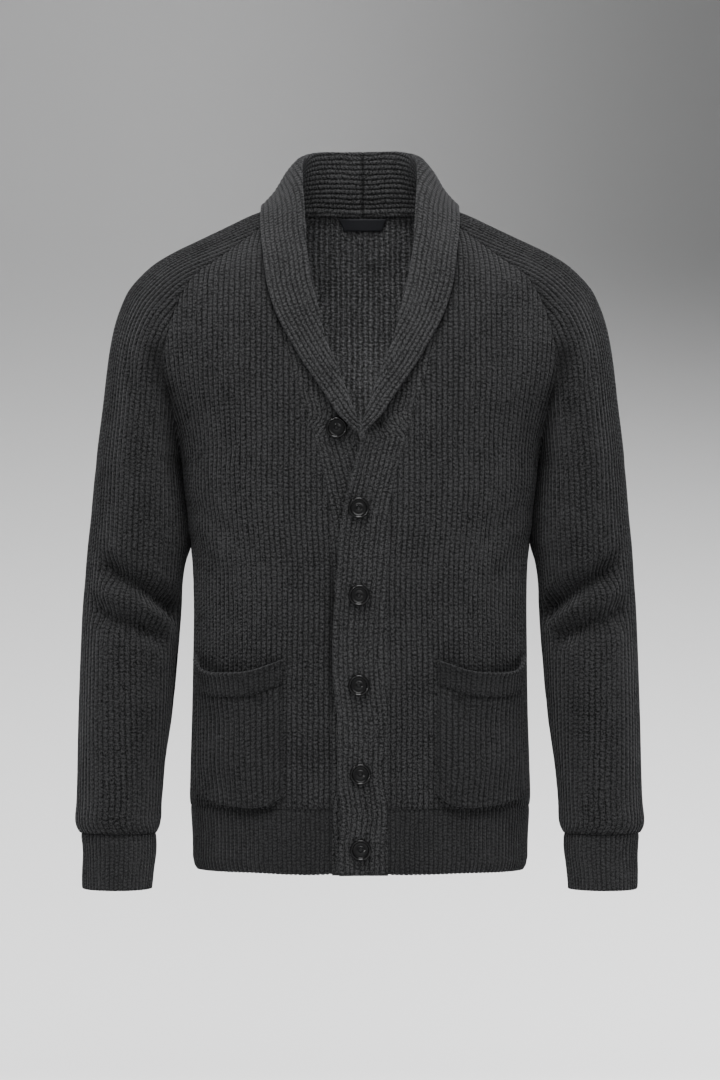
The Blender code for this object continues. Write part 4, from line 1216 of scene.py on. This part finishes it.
class CARDIGAN_OT_collar(bpy.types.Operator):
    """Knit each front band and the half of the shawl collar it runs into"""

    bl_idname = "cardigan.collar"
    bl_label = "Collar and bands"

    def execute(self, context):
        size = sizes()
        heights = np.linspace(HEM_Z, BAND_TOP_Z, 34)
        stations = np.linspace(0.0, CENTRE_BACK_STATION, 61)
        look = (size.collar_rib, size.stitch, 1.14)
        material = found("collar_wool", wool, colours().collar, *look)
        # The collar's facing is a lighter copy of its wool: painted light.
        reverse = found("collar_reverse", wool, tinted(colours().collar, COLLAR_REVERSE), *look)
        across = np.linspace(0.0, 1.0, COLLAR_COLUMNS + 1)
        for wearer, free, sewn in (("left", "start", "end"), ("right", "end", "start")):
            strip = strip_grid(wearer, 24, heights, stations)
            coarse = on_side(strip[:, ::-1], wearer)
            grid = refined(coarse, middle_places(coarse), across)
            x, z = grid[..., 0], grid[..., 2]
            tuck = FALL_TUCK * hump(z - 0.020, 0.016) * smoothstep(0.065, 0.085, np.abs(x))
            grid[..., 0] -= np.sign(x) * tuck
            inwards = edge_distance(grid, free)
            uv = np.stack([inwards + 0.5 * size.collar_rib, measured(grid, 0)], axis=2)
            at_neck = smoothstep(-0.10, 0.0, z)
            roll = NECK_ROLL * at_neck * hump(edge_distance(grid, sewn) - 0.0032, 0.0030)
            if wearer == "left":
                self.sew_buttonhole(grid)
                on_band = smoothstep(BREAK_Z + 0.020, BREAK_Z - 0.020, z)
                roll += BAND_LIFT * on_band * hump(inwards, 0.0080)
            name = f"collar_band_{wearer}"
            thing = knitted(
                f"{name}_knit", grid, inwards / size.collar_rib + 0.5, uv, WALL, 0.62 * size.relief,
                f"top {sewn}", f"bottom {free}", "top", roll, centred=True,
            )
            dress(thing, material, name, reverse)
        return {"FINISHED"}

    def sew_buttonhole(self, grid):
        """The stitched hole of the button left open, on the rolled front edge."""
        x, z = BUTTONHOLE
        away = np.hypot(grid[..., 0] - x, grid[..., 2] - z)
        row, column = np.unravel_index(np.argmin(away), away.shape)
        normal = Vector(normals_of(grid)[row, column])
        if normal.y > 0.0:
            normal = -normal
        along = Vector(grid[row + 1, column] - grid[row - 1, column]).normalized()
        select_only()
        bpy.ops.mesh.primitive_torus_add(
            major_radius=0.5 * BUTTONHOLE_LENGTH,
            minor_radius=BUTTONHOLE_CORD,
            major_segments=40,
            minor_segments=10,
        )
        hole = named_active("buttonhole_stitching")
        bpy.ops.object.shade_smooth()
        turn = Matrix((along, normal.cross(along), normal)).transposed().to_4x4()
        seat = Vector(grid[row, column]) + normal * (0.5 * WALL + 0.0002)
        narrow = Matrix.Diagonal((1.0, 0.30, 0.75, 1.0))
        hole.data.transform(Matrix.Translation(seat) @ turn @ narrow)
        fasten(hole, found("sewing_thread", woven, colours().thread, 0.0004))


def fasten(thing, material):
    """Gives a hard piece its material and body."""
    thing.data.materials.append(material)
    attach(thing, "root")


def mouth_roll(grid):
    """The rolled edge along a pocket's mouth."""
    return MOUTH_ROLL * hump(edge_distance(grid, "top") - 0.0020, 0.0026)


class CARDIGAN_OT_pockets(bpy.types.Operator):
    """Knit the two patch pockets and the welts at their mouths"""

    bl_idname = "cardigan.pockets"
    bl_label = "Pockets"

    def execute(self, context):
        size = sizes()
        material = found("pocket_wool", wool, colours().pocket, size.body_rib, size.stitch)
        width = POCKET_OUTER - POCKET_INNER
        for wearer in SIDES:
            patch = on_side(pocket_grid("patch", columns=30, rows=12), wearer)
            knit_panel(
                f"pocket_{wearer}", patch, "pocket_rib", "top start end", "bottom",
                ribs=round(width / size.body_rib), material=material,
            )
            welt = on_side(pocket_grid("welt", columns=30, rows=6), wearer)
            knit_panel(
                f"pocket_welt_{wearer}", welt, "rib_welt", "bottom start end", "top",
                ribs=round(width / size.welt_rib), rise=mouth_roll, thickness=1.3,
            )
        return {"FINISHED"}


def turned_blank():
    """A button turned from its profile, ring by ring, with four holes."""
    select_only()
    radius, height = BUTTON_TURNING[0]
    bpy.ops.mesh.primitive_circle_add(
        vertices=BUTTON_SIDES, radius=radius, fill_type="NOTHING", location=(0.0, 0.0, height)
    )
    thing = bpy.context.active_object
    bpy.ops.object.transform_apply(location=True, rotation=False, scale=False)
    bpy.ops.object.mode_set(mode="EDIT")
    bpy.ops.mesh.select_all(action="SELECT")
    for next_radius, next_height in BUTTON_TURNING[1:]:
        move = {"value": (0.0, 0.0, next_height - height)}
        bpy.ops.mesh.extrude_region_move(TRANSFORM_OT_translate=move)
        share = next_radius / radius
        bpy.ops.transform.resize(value=(share, share, 1.0))
        radius, height = next_radius, next_height
    bpy.ops.mesh.select_all(action="SELECT")
    bpy.ops.mesh.fill_holes(sides=0)
    bpy.ops.mesh.normals_make_consistent(inside=False)
    bpy.ops.object.mode_set(mode="OBJECT")
    for turn in range(4):
        angle = 0.25 * math.pi + 0.5 * math.pi * turn
        place = (HOLE_OUT * math.cos(angle), HOLE_OUT * math.sin(angle), 0.0)
        select_only()
        bpy.ops.mesh.primitive_cylinder_add(
            vertices=16, radius=HOLE_RADIUS, depth=0.02, location=place
        )
        drill = bpy.context.active_object
        select_only(thing)
        cut = thing.modifiers.new("hole", "BOOLEAN")
        cut.operation = "DIFFERENCE"
        cut.object = drill
        bpy.ops.object.modifier_apply(modifier="hole")
        bpy.data.objects.remove(drill, do_unlink=True)
    bpy.ops.object.shade_smooth_by_angle(angle=math.radians(38.0))
    return thing


def thread_cross(name, place):
    """Two turns of thread between a button's holes."""
    strands = []
    for angle in (45.0, 135.0):
        select_only()
        bpy.ops.mesh.primitive_cylinder_add(
            vertices=10,
            radius=THREAD_RADIUS,
            depth=2.0 * HOLE_OUT + 0.0006,
            location=(0.0, 0.0, DISH_HEIGHT + 0.6 * THREAD_RADIUS),
            rotation=(0.0, math.radians(90.0), math.radians(angle)),
        )
        bpy.ops.object.shade_smooth_by_angle(angle=math.radians(40.0))
        strands.append(bpy.context.active_object)
    select_only(*strands)
    bpy.ops.object.join()
    bpy.ops.object.transform_apply(location=True, rotation=True, scale=True)
    cross = named_active(name)
    cross.data.transform(place)
    return cross


def button_axis(node):
    """The middle of a button's back and the way its face looks."""
    points = np.array([vertex.co[:] for vertex in bpy.data.objects[node].data.vertices])
    middle = points.mean(axis=0)
    _, _, ways = np.linalg.svd(points - middle)
    face = Vector(ways[2])
    if face.y > 0.0:
        face = -face
    return Vector(middle) + face * min((points - middle) @ np.array(face)), face


class CARDIGAN_OT_buttons(bpy.types.Operator):
    """Turn the six buttons and sew them on"""

    bl_idname = "cardigan.buttons"
    bl_label = "Buttons"

    def execute(self, context):
        stock = found("button_horn", horn, colours().button)
        thread = found("sewing_thread", woven, colours().thread, 0.0004)
        blank = turned_blank()
        for number, degrees in enumerate(BUTTON_SPIN, 1):
            node = f"button_{number}"
            seat, face = button_axis(node)
            turn = face.to_track_quat("Z", "Y").to_matrix().to_4x4()
            spin = Matrix.Rotation(math.radians(degrees), 4, "Z")
            place = Matrix.Translation(seat) @ turn @ spin
            thing = blank.copy()
            thing.data = blank.data.copy()
            thing.name = thing.data.name = f"{node}_turned"
            context.scene.collection.objects.link(thing)
            thing.data.transform(place)
            thing.data.materials.clear()
            fasten(thing, stock)
            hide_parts(node)
            fasten(thread_cross(f"{node}_thread", place), thread)
        bpy.data.objects.remove(blank, do_unlink=True)
        return {"FINISHED"}


class CARDIGAN_OT_label(bpy.types.Operator):
    """Sew the bare woven label inside the back neck"""

    bl_idname = "cardigan.label"
    bl_label = "Label"

    def execute(self, context):
        low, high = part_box("neck_label")
        rows, columns = 8, 24
        points = np.zeros((rows + 1, columns + 1, 3))
        heights = np.linspace(low[2] - 0.0014, high[2], rows + 1) + LABEL_RISE
        for i, height in enumerate(heights):
            half = LABEL_HALF_WIDTH + LABEL_FLARE * (i / rows) ** 1.6
            ring = Ring("back", float(height), LABEL_INSET)
            for j, place in enumerate(np.linspace(-1.0, 1.0, columns + 1)):
                x = CENTRE_BACK_X + half * place
                _, y = ring.point(ring.girth_at(abs(x)))
                points[i, j] = x, y - 0.0006 * (1.0 - place * place), height
        thing = cloth_sheet("neck_label_woven", points, points[..., [0, 2]])
        solidify(thing, LABEL_CLOTH, np.ones(points.shape[:2]), 0.0)
        material = found("label_satin", woven, colours().label, 0.0007)
        dress(thing, material, "neck_label")
        return {"FINISHED"}


# ---- Stage
def aimed_light(name, place, target, width, power):
    bpy.ops.object.light_add(type="AREA", location=place)
    lamp = bpy.context.active_object
    lamp.name = name
    lamp.data.shape = "RECTANGLE"
    lamp.data.size, lamp.data.size_y = width
    lamp.data.energy = power
    lamp.visible_camera = False
    aim = Vector(target) - Vector(place)
    lamp.rotation_euler = aim.to_track_quat("-Z", "Y").to_euler()


def select_edges(mesh, chosen):
    """Selects in object mode only the edges whose two ends are chosen."""
    for polygon in mesh.polygons:
        polygon.select = False
    for vertex in mesh.vertices:
        vertex.select = chosen(vertex.co)
    for edge in mesh.edges:
        edge.select = all(mesh.vertices[k].select for k in edge.vertices)


class CARDIGAN_OT_stage(bpy.types.Operator):
    """Set up the camera, the pale floor with its sweep, and the soft lights"""

    bl_idname = "cardigan.stage"
    bl_label = "Stage"

    def execute(self, context):
        stage = context.scene.cardigan_stage
        bpy.ops.object.camera_add(
            location=(0.0, -stage.distance, stage.height),
            rotation=(math.radians(90.0), 0.0, 0.0),
        )
        camera = bpy.context.active_object
        camera.data.sensor_fit = "VERTICAL"
        camera.data.lens = camera.data.sensor_height * stage.distance / stage.view
        context.scene.camera = camera
        self.sweep()
        middle = (0.0, 0.0, -0.30)
        aimed_light("key_light", (-0.05, -1.5, 2.3), middle, (1.6, 1.2), stage.key)
        aimed_light("front_light", (0.0, -4.6, 0.42), middle, (1.4, 0.9), stage.front)
        aimed_light("rim_light_high", (-1.2, -2.0, 0.9), middle, (0.06, 0.5), stage.rim)
        aimed_light("rim_light_low", (1.1, -2.2, -1.2), middle, (0.06, 0.4), stage.rim)
        for side in (-1.0, 1.0):
            place, target = (1.7 * side, 1.8, -0.2), (0.4 * side, 6.0, -0.6)
            aimed_light(f"paper_light_{side:+.0f}", place, target, (0.6, 1.6), stage.paper)
        place, target = (1.0, 3.0, 0.5), (1.0, 4.6, FLOOR_Z)
        aimed_light("floor_light", place, target, (1.6, 0.8), 0.07 * stage.paper)
        world = bpy.data.worlds.new("even_sky")
        world.use_nodes = True
        sky = world.node_tree.nodes["Background"]
        sky.inputs["Color"].default_value = (0.96, 0.97, 1.0, 1.0)
        sky.inputs["Strength"].default_value = stage.sky
        context.scene.world = world
        return {"FINISHED"}

    def sweep(self):
        """A floor that curves up behind into the backdrop."""
        select_only()
        bpy.ops.mesh.primitive_plane_add(size=16.0, location=(0.0, -1.4, FLOOR_Z))
        floor = named_active("floor_sweep")
        bpy.ops.object.transform_apply(location=True, rotation=False, scale=False)
        select_edges(floor.data, lambda co: co.y > FLOOR_END_Y)
        bpy.ops.object.mode_set(mode="EDIT")
        bpy.ops.mesh.select_mode(type="EDGE")
        bpy.ops.mesh.extrude_region_move(TRANSFORM_OT_translate={"value": (0.0, 0.0, 8.0)})
        bpy.ops.object.mode_set(mode="OBJECT")
        select_edges(floor.data, lambda co: co.y > FLOOR_END_Y and abs(co.z - FLOOR_Z) < 0.01)
        bpy.ops.object.mode_set(mode="EDIT")
        bpy.ops.mesh.bevel(offset=2.6, segments=32, affect="EDGES")
        bpy.ops.object.mode_set(mode="OBJECT")
        bpy.ops.object.shade_smooth()
        floor.data.materials.append(found("paper", backdrop_paper, PAPER_TONES))


OPERATORS = (
    CARDIGAN_OT_stage,
    CARDIGAN_OT_panels,
    CARDIGAN_OT_waistband,
    CARDIGAN_OT_sleeves,
    CARDIGAN_OT_cuffs,
    CARDIGAN_OT_collar,
    CARDIGAN_OT_pockets,
    CARDIGAN_OT_buttons,
    CARDIGAN_OT_label,
)
GROUPS = {
    "cardigan_sizes": CardiganSizes,
    "cardigan_colours": CardiganColours,
    "cardigan_stage": CardiganStage,
}


class CARDIGAN_PT_sidebar(bpy.types.Panel):
    bl_idname = "CARDIGAN_PT_sidebar"
    bl_label = "Shawl Collar Cardigan"
    bl_space_type = "VIEW_3D"
    bl_region_type = "UI"
    bl_category = "Cardigan"

    def draw(self, context):
        for group in GROUPS:
            settings = getattr(context.scene, group)
            box = self.layout.box()
            for name in settings.__annotations__:
                box.prop(settings, name)
        for operator in OPERATORS:
            self.layout.operator(operator.bl_idname)


CLASSES = (*GROUPS.values(), *OPERATORS, CARDIGAN_PT_sidebar)


def register():
    for kind in CLASSES:
        bpy.utils.register_class(kind)
    for name, kind in GROUPS.items():
        setattr(bpy.types.Scene, name, PointerProperty(type=kind))


def unregister():
    for name in GROUPS:
        delattr(bpy.types.Scene, name)
    for kind in reversed(CLASSES):
        bpy.utils.unregister_class(kind)


def main():
    register()
    bpy.ops.cardigan.stage()
    bpy.ops.cardigan.panels()
    bpy.ops.cardigan.waistband()
    bpy.ops.cardigan.sleeves()
    bpy.ops.cardigan.cuffs()
    bpy.ops.cardigan.collar()
    bpy.ops.cardigan.pockets()
    bpy.ops.cardigan.buttons()
    bpy.ops.cardigan.label()


if __name__ == "__main__":
    main()
